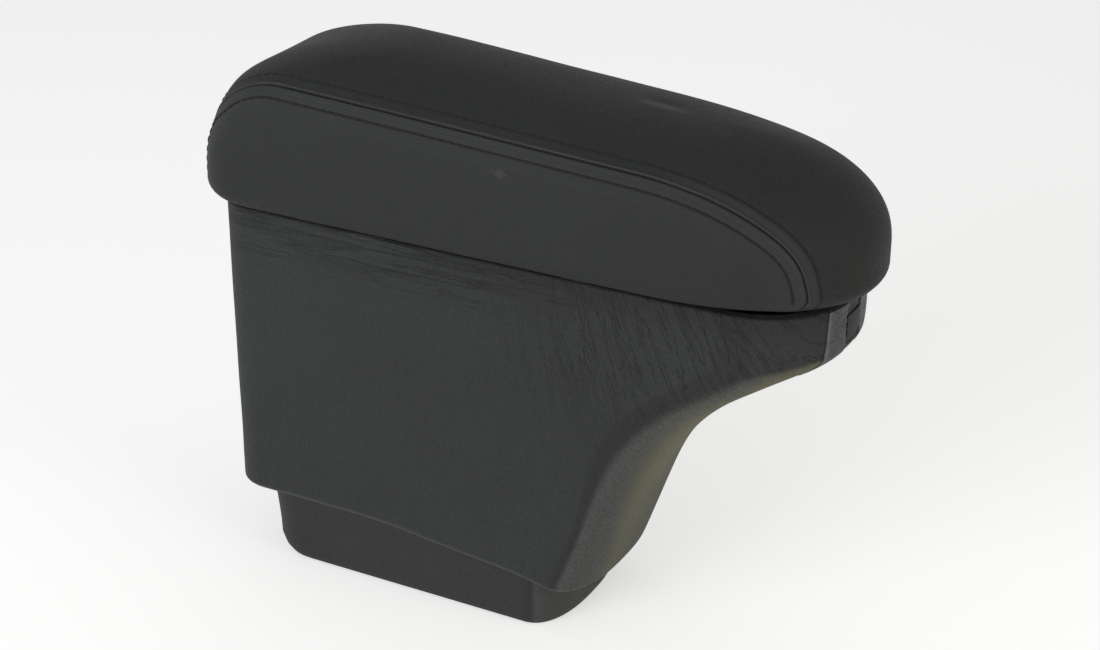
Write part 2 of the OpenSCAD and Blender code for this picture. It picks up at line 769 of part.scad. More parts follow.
box_shell();
box_cover();
box_felt();
floor_mat();
foot_tub();
foot_cover();
foot_screws();
hinge_box_leaf();
hinge_pin();
hinge_box_screws();
latch_body();
latch_button();
latch_spring();
latch_screws();
rim_bumpers();
lid_board();
lid_foam();
lid_cover_top();
lid_cover_right();
lid_cover_left();
lid_lining();
hinge_lid_leaf();
hinge_lid_screws();
lid_catch();
catch_screws();
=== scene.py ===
"""Car centre armrest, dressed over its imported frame: padded lid, wrapped box, foot, latch and hinge."""

import logging
import math
from dataclasses import dataclass, field
from enum import Enum
from typing import Callable, Sequence

import bmesh
import bpy
import numpy as np
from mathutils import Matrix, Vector
from mathutils.bvhtree import BVHTree
from mathutils.kdtree import KDTree

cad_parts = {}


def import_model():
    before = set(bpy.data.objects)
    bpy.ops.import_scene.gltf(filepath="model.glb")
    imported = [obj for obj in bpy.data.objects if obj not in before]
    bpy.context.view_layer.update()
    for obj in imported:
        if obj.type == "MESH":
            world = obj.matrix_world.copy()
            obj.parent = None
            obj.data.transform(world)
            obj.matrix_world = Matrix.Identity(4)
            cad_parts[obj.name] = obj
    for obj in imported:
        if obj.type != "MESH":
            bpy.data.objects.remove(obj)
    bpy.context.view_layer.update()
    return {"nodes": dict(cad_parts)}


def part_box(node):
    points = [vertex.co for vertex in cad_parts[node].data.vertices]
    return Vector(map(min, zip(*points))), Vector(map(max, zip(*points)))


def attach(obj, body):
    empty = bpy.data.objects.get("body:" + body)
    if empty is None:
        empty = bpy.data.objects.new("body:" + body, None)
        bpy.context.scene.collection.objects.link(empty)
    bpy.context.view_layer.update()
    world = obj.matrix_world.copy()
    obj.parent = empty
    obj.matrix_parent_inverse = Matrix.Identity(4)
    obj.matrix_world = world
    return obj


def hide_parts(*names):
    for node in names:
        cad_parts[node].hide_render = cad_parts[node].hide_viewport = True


log = logging.getLogger("armrest")
MM = 0.001
Grid = np.ndarray
Socket = bpy.types.NodeSocket
Shades = tuple[float, float, float]
SCRATCHED: Shades = (0.16, 0.16, 0.155)
# Tint of the painted highlights beside the lid's seam, along the box's bottom edge and on the nose strips' edges.
HIGHLIGHT_TINT: Shades = (0.15, 0.155, 0.155)
# Tint of the painted highlight round the box's front corners.
CORNER_HIGHLIGHT_TINT: Shades = (0.11, 0.115, 0.113)
# Tint of the painted warm reflection on the front's hollow.
WARM_REFLECTION_TINT: Shades = (0.142, 0.136, 0.078)


class Side(Enum):
    """The armrest's two sides, as the sign of Y."""

    RIGHT = -1
    LEFT = 1


class Row(Enum):
    """The two rows of topstitching beside a seam, as the sign of the distance from it."""

    UPPER = -1
    LOWER = 1


@dataclass(frozen=True)
class Density:
    """How many points an outline has on each of its stretches."""

    rear: int = 12
    corner: int = 16
    side: int = 70
    nose: int = 40


@dataclass(frozen=True)
class LidSize:
    """Sizes of the padded lid, in millimetres."""

    length: float = 321
    width: float = 109
    height: float = 82
    fall: float = 23
    rear_r: float = 26
    nose: float = 85
    seam: float = 42.5
    seam_nose: float = 6.0
    seam_rear: float = 7.0
    cover_t: float = 1.2
    hem: float = 14
    board_t: float = 6
    x0: float = -106
    z: float = 188.9
    power: float = 2.2
    crown_power: float = 2.3
    crown_from: float = 17.5
    roll_in: float = 8
    roll_up: float = 9
    nose_pull: float = 1.3
    rear_pull: float = 1.95
    hem_from: float = 23
    hem_to: float = 50
    crease_x: float = 112
    crease_y: float = -1.5
    dip_y: float = 4
    rear_mid: float = 38
    rear_crest: float = 56

    @property
    def half(self) -> float:
        """Half of the lid's width."""
        return self.width / 2

    @property
    def x1(self) -> float:
        """The nose end of the lid."""
        return self.x0 + self.length

    def seam_at(self, x: Grid | float, z: Grid | float) -> Grid | float:
        """How far from the centreline the seam lies: it runs in at the rear and towards the foot of the nose."""
        nose = ease((np.asarray(x) - 150) / 40) * ease((self.z + 48 - np.asarray(z)) / 45)
        return self.seam - self.seam_nose * nose - self.seam_rear * ease((-88 - np.asarray(x)) / 20)


@dataclass(frozen=True)
class BoxSize:
    """Sizes of the wrapped box and its hollow, in millimetres."""

    back: float = 97.5
    half: float = 46.5
    rim: float = 187
    rear_r: float = 18
    nose_len: float = 46
    nose_x: float = 204
    front_x: float = 95
    front_z: float = 24.5
    lean: float = 20
    hollow_r: float = 140
    nose_lean: float = 57
    nose_r: float = 12
    rake: float = 7
    front_round: float = 18
    arch: float = 15
    arch_from: float = -18
    power: float = 2.4
    edge_r: float = 2.5
    heel_r: float = 2.2
    round_from: float = 60
    nose_depth: float = 26.8
    window_in: float = 8.2
    cover_t: float = 1.2
    wall_in: float = 5.2
    felt_t: float = 1.5
    felt_drop: float = 3
    latch_half: float = 20.2
    latch_low: float = 165.8
    latch_high: float = 182.2
    strip_in: float = 7.6
    strip_out: float = 22.2
    latch_x: float = 203.204
    latch_curve: float = 80
    ear_half: float = 32.0
    ear_low: float = 163.0
    ear_back: float = 171.5

    @property
    def meet(self) -> tuple[float, float]:
        """Where the underside's line and the nose wall's line meet, as x and z."""
        return self.nose_x - self.nose_depth * math.tan(math.radians(self.rake)), self.rim - self.nose_depth

    @property
    def run(self) -> float:
        """Length of the front face's lower part, so that the underside ends at the nose wall."""
        low, high = math.radians(self.lean), math.radians(self.nose_lean)
        x, z = self.meet
        rise = z - self.front_z - self.hollow_r * (math.sin(high) - math.sin(low))
        reach = x - self.front_x - self.hollow_r * (math.cos(low) - math.cos(high))
        return (rise - reach / math.tan(high)) / (math.cos(low) - math.sin(low) / math.tan(high))


@dataclass(frozen=True)
class FootSize:
    """Sizes of the foot, in millimetres."""

    length: float = 162
    half: float = 40.5
    rear_r: float = 20
    nose: float = 17
    lean: float = 0.12
    hem: float = 12
    levels: tuple = ((0, 3.4), (1.2, 2.0), (4, 0.8), (9, 0.0))


def half_outline(x0: float, x1: float, half: float, corner: float, nose: float, power: float, n: Density) -> Grid:
    """One half of a plan outline, from its rear edge to its nose.

    Args:
        x0: The rear end.
        x1: The nose end.
        half: Half of the width.
        corner: Radius of the rear corner.
        nose: Length over which the nose rounds in.
        power: Power of the nose's superellipse.
        n: How many points each stretch has.

    Returns:
        The points as rows of x and y.
    """
    r = min(corner, 0.96 * half)
    flat = (np.arange(n.rear) + 0.5) / n.rear
    rear = np.stack([np.full(n.rear, x0), (half - r) * flat * 0.98], 1)
    t = np.radians(90 * np.arange(n.corner) / (n.corner - 1))
    arc = np.stack([x0 + r * (1 - np.cos(t)), half - r * (1 - np.sin(t))], 1)
    s = np.arange(1, n.side + 1) / (n.side + 1)
    straight = np.stack([x0 + r + (x1 - nose - x0 - r) * s, np.full(n.side, half)], 1)
    t = np.radians(90 * (1 - np.arange(n.nose) / (n.nose - 0.5)))
    tip = np.stack([x1 - nose + nose * np.cos(t) ** (2 / power), half * np.sin(t) ** (2 / power)], 1)
    return np.concatenate([rear, arc, straight, tip])


def mirrored(half: Grid) -> Grid:
    """The whole outline from one half of it."""
    return np.concatenate([half, half[::-1] * [1, -1]])


def ring(outline: Grid, z: Grid | float) -> Grid:
    """An outline raised to the height z, which may differ from point to point."""
    return np.column_stack([outline, np.broadcast_to(z, len(outline))])


def ease(u: Grid | float) -> Grid | float:
    """A smooth step from 0 to 1."""
    v = np.clip(u, 0, 1)
    return v * v * (3 - 2 * v)


def heel(rise: float, r: float) -> float:
    """How far a rounded bottom edge of radius r is set in at a height above its foot."""
    return 0.0 if rise >= r else r - math.sqrt(r * r - (r - rise) ** 2)


def waves(points: Grid, seed: int, length: float, count: int = 7) -> Grid:
    """Slow irregular waves over space, between about -1 and 1.

    Args:
        points: The points, in millimetres.
        seed: Fixes the waves.
        length: Their usual length, in millimetres.
        count: How many are added up.

    Returns:
        One value for each point.
    """
    rng = np.random.default_rng(seed)
    total = np.zeros(len(points))
    for _ in range(count):
        way = rng.normal(size=3)
        way *= 2 * math.pi / (length * rng.uniform(0.7, 1.5) * np.linalg.norm(way))
        total += np.sin(points @ way + rng.uniform(0, 2 * math.pi))
    return total / math.sqrt(count)


def in_scene(name: str, data: bpy.types.ID) -> bpy.types.Object:
    """A new object in the scene, at the origin."""
    obj = bpy.data.objects.new(name, data)
    bpy.context.scene.collection.objects.link(obj)
    return obj


def finished(bm: bmesh.types.BMesh, name: str, finish: bpy.types.Material, angle: float) -> bpy.types.Object:
    """Turns a bmesh in metres into a smooth object.

    Args:
        bm: The shape, which is freed.
        name: The object's name.
        finish: Its material.
        angle: Edges sharper than this many degrees stay sharp.

    Returns:
        The new object, at the origin.
    """
    mesh = bpy.data.meshes.new(name)
    bm.to_mesh(mesh)
    bm.free()
    mesh.shade_smooth()
    mesh.set_sharp_from_angle(angle=math.radians(angle))
    mesh.materials.append(finish)
    return in_scene(name, mesh)


class Skin:
    """A surface through rings of equally many points, kept as a bmesh in millimetres."""

    def __init__(self, rings: Sequence[Grid], top: bool = False, bottom: bool = False) -> None:
        """Builds the surface.

        Args:
            rings: The rings from the bottom up.
            top: Whether the last ring is closed across the centreline.
            bottom: Whether the first one is.
        """
        n, last = len(rings[0]), len(rings) - 1
        self.bm = bmesh.new()
        verts = [self.bm.verts.new(p) for p in np.concatenate(rings).tolist()]
        for k in range(last):
            for i in range(n):
                j = (i + 1) % n
                self.bm.faces.new([verts[q] for q in (k * n + i, k * n + n + i, k * n + n + j, k * n + j)])
        for i in range(n // 2 - 1):
            pair = (i, n - 1 - i, n - 2 - i, i + 1)
            if top:
                self.bm.faces.new([verts[last * n + q] for q in pair])
            if bottom:
                self.bm.faces.new([verts[q] for q in reversed(pair)])

    def cut(self, point: Sequence[float], way: Sequence[float], near: Callable[[Vector], bool] | None = None) -> None:
        """Adds edges where a plane crosses the surface.

        Args:
            point: A point on the plane.
            way: The plane's normal.
            near: Says by a face's middle whether the face may be cut.
        """
        faces = [f for f in self.bm.faces if near is None or near(f.calc_center_median())]
        geom = set(faces)
        for f in faces:
            geom.update(f.edges)
            geom.update(f.verts)
        bmesh.ops.bisect_plane(self.bm, geom=list(geom), plane_co=point, plane_no=way, dist=1e-4)

    def drop(self, inside: Callable[[Vector], bool]) -> None:
        """Removes the faces whose middle a test names."""
        gone = [f for f in self.bm.faces if inside(f.calc_center_median())]
        bmesh.ops.delete(self.bm, geom=gone, context="FACES")

    def points(self) -> tuple[Grid, Grid]:
        """The points and their normals."""
        self.bm.normal_update()
        return np.array([v.co for v in self.bm.verts]), np.array([v.normal for v in self.bm.verts])

    def move(self, shift: Callable[[Grid, Grid], Grid]) -> None:
        """Moves each point along its normal.

        Args:
            shift: Gives the way to go from the points and their normals.
        """
        co, no = self.points()
        co += no * shift(co, no)[:, None]
        for v, p in zip(self.bm.verts, co.tolist()):
            v.co = p

    def paint(self, name: str, value: Callable[[Grid, Grid], Grid]) -> None:
        """Keeps a number for each point as an attribute that a finish reads.

        Args:
            name: The attribute's name.
            value: Gives the numbers from the points and their normals.
        """
        co, no = self.points()
        layer = self.bm.verts.layers.float.new(name)
        for v, number in zip(self.bm.verts, value(co, no).tolist()):
            v[layer] = number

    def widen(self, scale: Callable[[float, float], float]) -> None:
        """Multiplies each point's Y by a number that depends on its X and Z."""
        for v in self.bm.verts:
            v.co.y *= float(scale(v.co.x, v.co.z))

    def tree(self) -> BVHTree:
        """A search tree over the surface."""
        self.bm.normal_update()
        return BVHTree.FromBMesh(self.bm)

    @classmethod
    def patch(cls, grid: Sequence[Grid]) -> "Skin":
        """An open surface through rows of equally many points."""
        made = cls.__new__(cls)
        made.bm = bmesh.new()
        rows = [[made.bm.verts.new(p) for p in row.tolist()] for row in grid]
        for low, high in zip(rows, rows[1:]):
            for i in range(len(low) - 1):
                made.bm.faces.new([low[i], low[i + 1], high[i + 1], high[i]])
        return made

    def part(self, keep: Callable[[Vector], bool]) -> "Skin":
        """A copy with only the faces whose middle a test names."""
        other = Skin.__new__(Skin)
        other.bm = self.bm.copy()
        other.drop(lambda p: not keep(p))
        return other

    def thicken(self, t: float) -> "Skin":
        """Closes the surface into a shell with its wall on the inner side.

        Args:
            t: The wall, in millimetres.

        Returns:
            The skin itself.
        """
        bm = self.bm
        bm.normal_update()
        outer, faces = list(bm.verts), list(bm.faces)
        rim = [(e, e.link_loops[0]) for e in bm.edges if len(e.link_faces) == 1]
        pairs = [(lp.vert, lp.link_loop_next.vert) for _, lp in rim]
        inner = {v: bm.verts.new(v.co - v.normal * t) for v in outer}
        for f in faces:
            bm.faces.new([inner[v] for v in reversed(f.verts)])
        for a, b in pairs:
            bm.faces.new([a, inner[a], inner[b], b])
        return self

    def piece(self, name: str, finish: bpy.types.Material, angle: float = 40) -> bpy.types.Object:
        """Turns the surface into an object in metres.

        Args:
            name: The object's name.
            finish: Its material.
            angle: Edges sharper than this many degrees stay sharp.

        Returns:
            The new object, at the origin.
        """
        for v in self.bm.verts:
            v.co *= MM
        return finished(self.bm, name, finish, angle)


class Graph:
    """Short calls for building a node tree."""

    def __init__(self, tree: bpy.types.NodeTree) -> None:
        """Keeps the tree."""
        self.tree = tree

    def add(self, kind: str, values: dict | None = None, **settings: object) -> bpy.types.Node:
        """Adds a node.

        Args:
            kind: Blender's name of the node's class.
            values: What goes into its inputs, by name or number: a value or another node's output.
            settings: The node's own settings.

        Returns:
            The node.
        """
        made = self.tree.nodes.new(kind)
        for key, value in settings.items():
            setattr(made, key, value)
        self.feed(made, values or {})
        return made

    def feed(self, node: bpy.types.Node, values: dict) -> None:
        """Links or sets a node's inputs, by name or number."""
        for key, value in values.items():
            if isinstance(value, Socket):
                self.tree.links.new(value, node.inputs[key])
            else:
                node.inputs[key].default_value = value

    def math(self, operation: str, a: object, b: object = 0.0, clamp: bool = False) -> Socket:
        """The result of a sum of two values."""
        return self.add("ShaderNodeMath", {0: a, 1: b}, operation=operation, use_clamp=clamp).outputs[0]

    def plus(self, a: object, b: object) -> Socket:
        """Two values added up."""
        return self.math("ADD", a, b)

    def minus(self, a: object, b: object, clamp: bool = False) -> Socket:
        """One value less another."""
        return self.math("SUBTRACT", a, b, clamp)

    def times(self, a: object, b: object, clamp: bool = False) -> Socket:
        """Two values multiplied."""
        return self.math("MULTIPLY", a, b, clamp)

    def most(self, a: object, b: object) -> Socket:
        """The larger of two values."""
        return self.math("MAXIMUM", a, b)

    def vector(self, operation: str, values: dict) -> Socket:
        """The result of a sum of vectors."""
        return self.add("ShaderNodeVectorMath", values, operation=operation).outputs[0]

    def axis(self, vector: object, letter: str) -> Socket:
        """One number of a vector."""
        return self.add("ShaderNodeSeparateXYZ", {0: vector}).outputs[letter]

    def step(self, value: object, low: float, high: float, to_low: float = 0.0, to_high: float = 1.0) -> Socket:
        """A smooth step of a value between two limits."""
        values = {"Value": value, "From Min": low, "From Max": high, "To Min": to_low, "To Max": to_high}
        return self.add("ShaderNodeMapRange", values, interpolation_type="SMOOTHSTEP").outputs[0]

    def mix(self, factor: object, a: object, b: object) -> Socket:
        """A colour between two."""
        return self.add("ShaderNodeMix", {0: factor, 6: a, 7: b}, data_type="RGBA").outputs[2]


def emptied(data: bpy.types.ID) -> Graph:
    """The graph of a new material or world, with nothing in it yet."""
    data.use_nodes = True
    data.node_tree.nodes.clear()
    return Graph(data.node_tree)


def rgba(colour: Sequence[float], gain: float = 1.0) -> tuple[float, float, float, float]:
    """A colour with its alpha, made brighter or darker by gain."""
    return (colour[0] * gain, colour[1] * gain, colour[2] * gain, 1.0)


def group(
    name: str, inputs: dict[str, float | None], outputs: Sequence[str]
) -> tuple[Graph, dict[str, Socket], dict[str, Socket]]:
    """Starts a shader node group.

    Args:
        name: The group's name.
        inputs: Its inputs and their values; None makes a vector.
        outputs: Its outputs, all plain numbers.

    Returns:
        The graph, what is given to the group, and the sockets that its results go into.
    """
    tree = bpy.data.node_groups.new(name, "ShaderNodeTree")
    for key, value in inputs.items():
        kind = "NodeSocketVector" if value is None else "NodeSocketFloat"
        socket = tree.interface.new_socket(key, in_out="INPUT", socket_type=kind)
        if value is not None:
            socket.default_value = value
    for key in outputs:
        tree.interface.new_socket(key, in_out="OUTPUT", socket_type="NodeSocketFloat")
    graph = Graph(tree)
    given, results = graph.add("NodeGroupInput").outputs, graph.add("NodeGroupOutput").inputs
    return graph, {key: given[key] for key in inputs}, {key: results[key] for key in outputs}


class Effects:
    """The shader node groups that the finishes share."""

    def __init__(self) -> None:
        """Builds each group once."""
        self.grain = self._grain()
        self.creases = self._creases()
        self.tone = self._tone()
        self.fibres = self._fibres()

    @staticmethod
    def _grain() -> bpy.types.NodeTree:
        """Pebbled leather grain: rounded cells with fine lines between them."""
        g, given, result = group("Leather grain", {"Vector": None, "Scale": 900.0, "Warp": 0.3}, ("Height", "Valley"))
        warp = g.add("ShaderNodeTexNoise", {"Vector": given["Vector"], "Scale": given["Scale"], "Detail": 2.0})
        size = g.math("DIVIDE", given["Warp"], given["Scale"])
        shift = g.vector("SCALE", {0: warp.outputs["Color"], "Scale": size})
        place = g.vector("ADD", {0: given["Vector"], 1: shift})
        cells = g.add("ShaderNodeTexVoronoi", {"Vector": place, "Scale": given["Scale"]}, feature="DISTANCE_TO_EDGE")
        fine_scale = g.times(given["Scale"], 2.2)
        fine = g.add("ShaderNodeTexVoronoi", {"Vector": place, "Scale": fine_scale}, feature="DISTANCE_TO_EDGE")
        big = g.step(cells.outputs["Distance"], 0.0, 0.26)
        small = g.step(fine.outputs["Distance"], 0.0, 0.3)
        height = g.plus(g.times(big, 0.72), g.times(small, 0.28))
        g.tree.links.new(height, result["Height"])
        g.tree.links.new(g.minus(1.0, height, True), result["Valley"])
        return g.tree

    @staticmethod
    def _creases() -> bpy.types.NodeTree:
        """Long fine creases: thin ridges of a noise that is stretched along one way."""
        inputs = {"Vector": None, "Stretch": None, "Width": 0.06, "Twist": 0.4}
        g, given, result = group("Stretch creases", inputs, ("Height", "Ripple"))
        place = g.vector("MULTIPLY", {0: given["Vector"], 1: given["Stretch"]})
        values = {"Vector": place, "Scale": 1.0, "Detail": 3.0, "Roughness": 0.6, "Distortion": given["Twist"]}
        noise = g.add("ShaderNodeTexNoise", values)
        off = g.math("ABSOLUTE", g.minus(noise.outputs[0], 0.5))
        values = {"Value": off, "From Min": 0.0, "From Max": given["Width"]}
        line = g.add("ShaderNodeMapRange", values, interpolation_type="SMOOTHSTEP")
        g.tree.links.new(line.outputs[0], result["Height"])
        g.tree.links.new(noise.outputs[0], result["Ripple"])
        return g.tree

    @staticmethod
    def _tone() -> bpy.types.NodeTree:
        """Slow changes of tone, and the lighter rub on outer edges."""
        g, given, result = group(
            "Tone and rub", {"Vector": None, "Scale": 14.0, "Edge from": 0.52, "Edge to": 0.6}, ("Tone", "Rub")
        )
        noise = g.add(
            "ShaderNodeTexNoise",
            {"Vector": given["Vector"], "Scale": given["Scale"], "Detail": 4.0, "Roughness": 0.6}
        )
        speck = g.add("ShaderNodeTexNoise", {"Vector": given["Vector"], "Scale": 160.0, "Detail": 2.0})
        edge = g.add("ShaderNodeNewGeometry").outputs["Pointiness"]
        values = {"Value": edge, "From Min": given["Edge from"], "From Max": given["Edge to"]}
        outer = g.add("ShaderNodeMapRange", values, interpolation_type="SMOOTHSTEP")
        broken = g.times(outer.outputs[0], g.step(speck.outputs[0], 0.25, 0.7), True)
        g.tree.links.new(g.step(noise.outputs[0], 0.3, 0.7), result["Tone"])
        g.tree.links.new(broken, result["Rub"])
        return g.tree

    @staticmethod
    def _fibres() -> bpy.types.NodeTree:
        """Short crossing fibres, as on felt, or bubbles at a larger scale."""
        g, given, result = group("Fibres", {"Vector": None, "Scale": 1500.0}, ("Height", "Fleck"))
        layers = []
        for ratio, stretch in ((1.0, (1, 0.25, 1)), (1.1, (0.3, 1, 0.6))):
            place = g.vector("MULTIPLY", {0: given["Vector"], 1: stretch})
            scale = g.times(given["Scale"], ratio)
            values = {"Vector": place, "Scale": scale, "Detail": 2.0, "Distortion": 0.8}
            layers.append(g.add("ShaderNodeTexNoise", values).outputs[0])
        g.tree.links.new(g.most(layers[0], layers[1]), result["Height"])
        g.tree.links.new(g.step(layers[0], 0.5, 0.75), result["Fleck"])
        return g.tree


class Finish:
    """A material with its graph, its object coordinates and its shader."""

    def __init__(self, name: str) -> None:
        """Starts the material.

        Args:
            name: The material's name.
        """
        self.material = bpy.data.materials.new(name)
        self.g = emptied(self.material)
        self.shader = self.g.add("ShaderNodeBsdfPrincipled")
        self.g.add("ShaderNodeOutputMaterial", {"Surface": self.shader.outputs[0]})
        coordinates = self.g.add("ShaderNodeTexCoord")
        self.place = coordinates.outputs["Object"]
        self.facing = coordinates.outputs["Normal"]

    def use(self, tree: bpy.types.NodeTree, values: dict) -> bpy.types.Node:
        """Places a node group that reads the object coordinates."""
        node = self.g.add("ShaderNodeGroup", node_tree=tree)
        self.g.feed(node, {"Vector": self.place, **values})
        return node

    def attribute(self, name: str) -> Socket:
        """A number that the piece keeps for each point, 0 where it has none."""
        return self.g.add("ShaderNodeAttribute", attribute_name=name).outputs["Fac"]

    def axis(self, letter: str) -> Socket:
        """One object coordinate, in metres."""
        return self.g.axis(self.place, letter)

    def wire(self, colour: Socket, roughness: Socket, heights: Sequence[tuple[Socket, float, float]]) -> None:
        """Connects what changes over the surface.

        Args:
            colour: Goes to the base colour.
            roughness: Goes to the roughness.
            heights: Bump heights as (height, depth in metres, strength), from the deepest layer to the finest.
        """
        links = self.g.tree.links
        links.new(colour, self.shader.inputs["Base Color"])
        links.new(roughness, self.shader.inputs["Roughness"])
        normal = None
        for height, depth, strength in heights:
            bump = self.g.add("ShaderNodeBump", {"Height": height, "Distance": depth, "Strength": strength})
            if normal is not None:
                links.new(normal, bump.inputs["Normal"])
            normal = bump.outputs[0]
        if normal is not None:
            links.new(normal, self.shader.inputs["Normal"])


@dataclass(frozen=True)
class Leatherette:
    """Soft wrap of the lid, the box and the foot."""

    name: str
    colour: Shades
    grain_scale: float
    grain_depth: float
    roughness: float
    tone_gain: tuple[float, float] = (0.9, 1.12)
    rub: float = 0.3
    wrinkles: bool = False
    # Strength of the painted highlight round the front's corners; any value also turns on the front's other painted
    # light and shade.
    band: float = 0.0
    # Strength of the painted warm reflection on the front.
    warm_reflection: float = 0.0
    gloss: float = 0.2

    def build(self, effects: Effects) -> bpy.types.Material:
        """Makes the material from the shared groups.

        Args:
            effects: The shader node groups.

        Returns:
            The material.
        """
        f = Finish(self.name)
        g = f.g
        grain = f.use(effects.grain, {"Scale": self.grain_scale, "Warp": 0.5})
        tone = f.use(effects.tone, {"Scale": 11.0})
        colour = g.mix(
            tone.outputs["Tone"], rgba(self.colour, self.tone_gain[0]), rgba(self.colour, self.tone_gain[1])
        )
        colour = g.mix(g.times(grain.outputs["Valley"], 0.45), colour, rgba(self.colour, 0.5))
        colour = g.mix(g.times(tone.outputs["Rub"], self.rub), colour, rgba(SCRATCHED))
        heights = [(grain.outputs["Height"], self.grain_depth, 1.0)]
        if self.wrinkles:
            crease_shade, pulled, streak = self._wrinkles(f, effects)
            heights = pulled + heights
            # Painted shade in the creases.
            colour = g.mix(crease_shade, colour, rgba(self.colour, 0.35))
            # Painted shadow just under the lid's overhang on the box's front part.
            shade = 0.42 if self.band else 0.0
            painted_lid_shadow = g.times(g.step(f.axis("Z"), 0.171, 0.185), g.step(f.axis("X"), -0.03, 0.06))
            colour = g.mix(g.times(painted_lid_shadow, shade), colour, rgba(self.colour, 0.35))
        if self.band:
            colour = self._front(f, colour, streak if self.wrinkles else None)
        # Painted highlights, from the highlight attribute that the pieces keep.
        colour = g.mix(g.times(f.attribute("painted_highlight"), 0.9, True), colour, rgba(HIGHLIGHT_TINT))
        # Painted shade in the lid's seam and along its stitch rows.
        colour = g.mix(g.times(f.attribute("painted_seam_shade"), 0.8, True), colour, rgba(self.colour, 0.12))
        rough = g.plus(g.times(grain.outputs["Valley"], 0.16), g.times(tone.outputs["Tone"], 0.06))
        f.wire(colour, g.plus(rough, self.roughness), heights)
        f.shader.inputs["Specular IOR Level"].default_value = self.gloss
        return f.material

    def _front(self, f: Finish, colour: Socket, streak: Socket | None) -> Socket:
        """The front's painted light and shade: darker where it starts to round into its corners, a highlight round
        them, a warm reflection between them and shade on its left half.

        Args:
            f: The finish that they go into.
            colour: The leatherette's own colour.
            streak: The streaks that break up the band, if it has them.

        Returns:
            The new colour.
        """
        g = f.g
        turned = g.axis(f.facing, "X")
        level = g.vector("MULTIPLY", {0: f.facing, 1: (1, 1, 0)})
        level = g.vector("NORMALIZE", {0: level})
        round_in = g.axis(level, "X")
        # Painted shade: darker where the front begins to round into its corners.
        corner_dip_shade = g.times(g.step(round_in, 0.0, 0.08), g.step(round_in, 0.38, 0.22))
        colour = g.mix(g.times(corner_dip_shade, 0.9 * self.band**2), colour, rgba(self.colour, 0.3))
        under = g.step(g.axis(f.facing, "Z"), -0.2, -0.5)
        low = g.most(g.step(f.axis("Z"), 0.15, 0.13), g.times(under, g.step(f.axis("Z"), 0.186, 0.165)))
        # Painted highlight round the front's corners, where they turn towards the light, broken up by the streaks.
        band = g.times(g.times(g.step(round_in, 0.28, 0.55), g.step(turned, 0.15, 0.4)), low)
        if streak is not None:
            band = g.times(band, g.step(streak, 0.35, 0.65, 0.65, 1.25))
        colour = g.mix(g.times(band, self.band), colour, rgba(CORNER_HIGHLIGHT_TINT))
        # Painted warm reflection on the hollow front, between the corners, weaker lower down.
        half = g.minus(g.math("ABSOLUTE", f.axis("Y")), g.times(g.minus(f.axis("Z"), 0.04), 0.13))
        front = g.times(g.step(half, 0.034, 0.014), g.times(low, g.step(f.axis("Z"), 0.02, 0.1, 0.55, 1.0)))
        front = g.times(front, g.step(turned, 0.3, 0.5))
        colour = g.mix(g.times(front, self.warm_reflection), colour, rgba(WARM_REFLECTION_TINT))
        # Painted shade on the front's left half, stronger lower down.
        far = g.times(g.step(f.axis("Y"), -0.02, 0.035), g.step(f.axis("Z"), 0.15, 0.05, 0.15, 1.0))
        return g.mix(g.times(g.times(far, g.step(turned, 0.4, 0.7)), 0.6), colour, rgba(self.colour, 0.9))

    @staticmethod
    def _wrinkles(f: Finish, effects: Effects) -> tuple[Socket, list[tuple[Socket, float, float]], Socket]:
        """The pulled wrap: upright streaks that lean towards the nose, creases there, and level creases under the lid,
        with painted shade in the creases.

        Args:
            f: The finish that they go into.
            effects: The shader node groups.

        Returns:
            The painted shade in the creases, the bump heights, and the streaks alone.
        """
        g = f.g
        x, z = f.axis("X"), f.axis("Z")
        lean = g.plus(x, g.times(z, g.step(x, -0.03, 0.2, 0.0, 0.9)))
        pulled = g.add("ShaderNodeCombineXYZ", {0: lean, 1: f.axis("Y"), 2: z}).outputs[0]
        streaks = f.use(effects.creases, {"Vector": pulled, "Stretch": (950, 950, 85), "Width": 0.2, "Twist": 0.3})
        creases = f.use(effects.creases, {"Vector": pulled, "Stretch": (110, 50, 26), "Width": 0.045, "Twist": 0.9})
        level = f.use(effects.creases, {"Stretch": (13, 13, 300), "Width": 0.09, "Twist": 0.3})
        to_nose = g.times(g.step(x, 0.03, 0.11), g.step(z, 0.085, 0.165))
        under_lid = g.times(g.step(z, 0.152, 0.178), g.step(x, 0.14, 0.05))
        cut = g.times(g.minus(1.0, creases.outputs["Height"]), to_nose)
        line = g.times(g.minus(1.0, level.outputs["Height"]), under_lid)
        # Painted shade in the creases.
        crease_shade = g.times(g.most(cut, line), 0.42, True)
        drop = g.minus(1.0, g.most(cut, line))
        soft = g.times(level.outputs["Ripple"], under_lid)
        heights = [(soft, 0.002, 1.0), (drop, 0.0003, 1.0), (streaks.outputs["Ripple"], 0.0005, 1.0)]
        return crease_shade, heights, streaks.outputs["Ripple"]


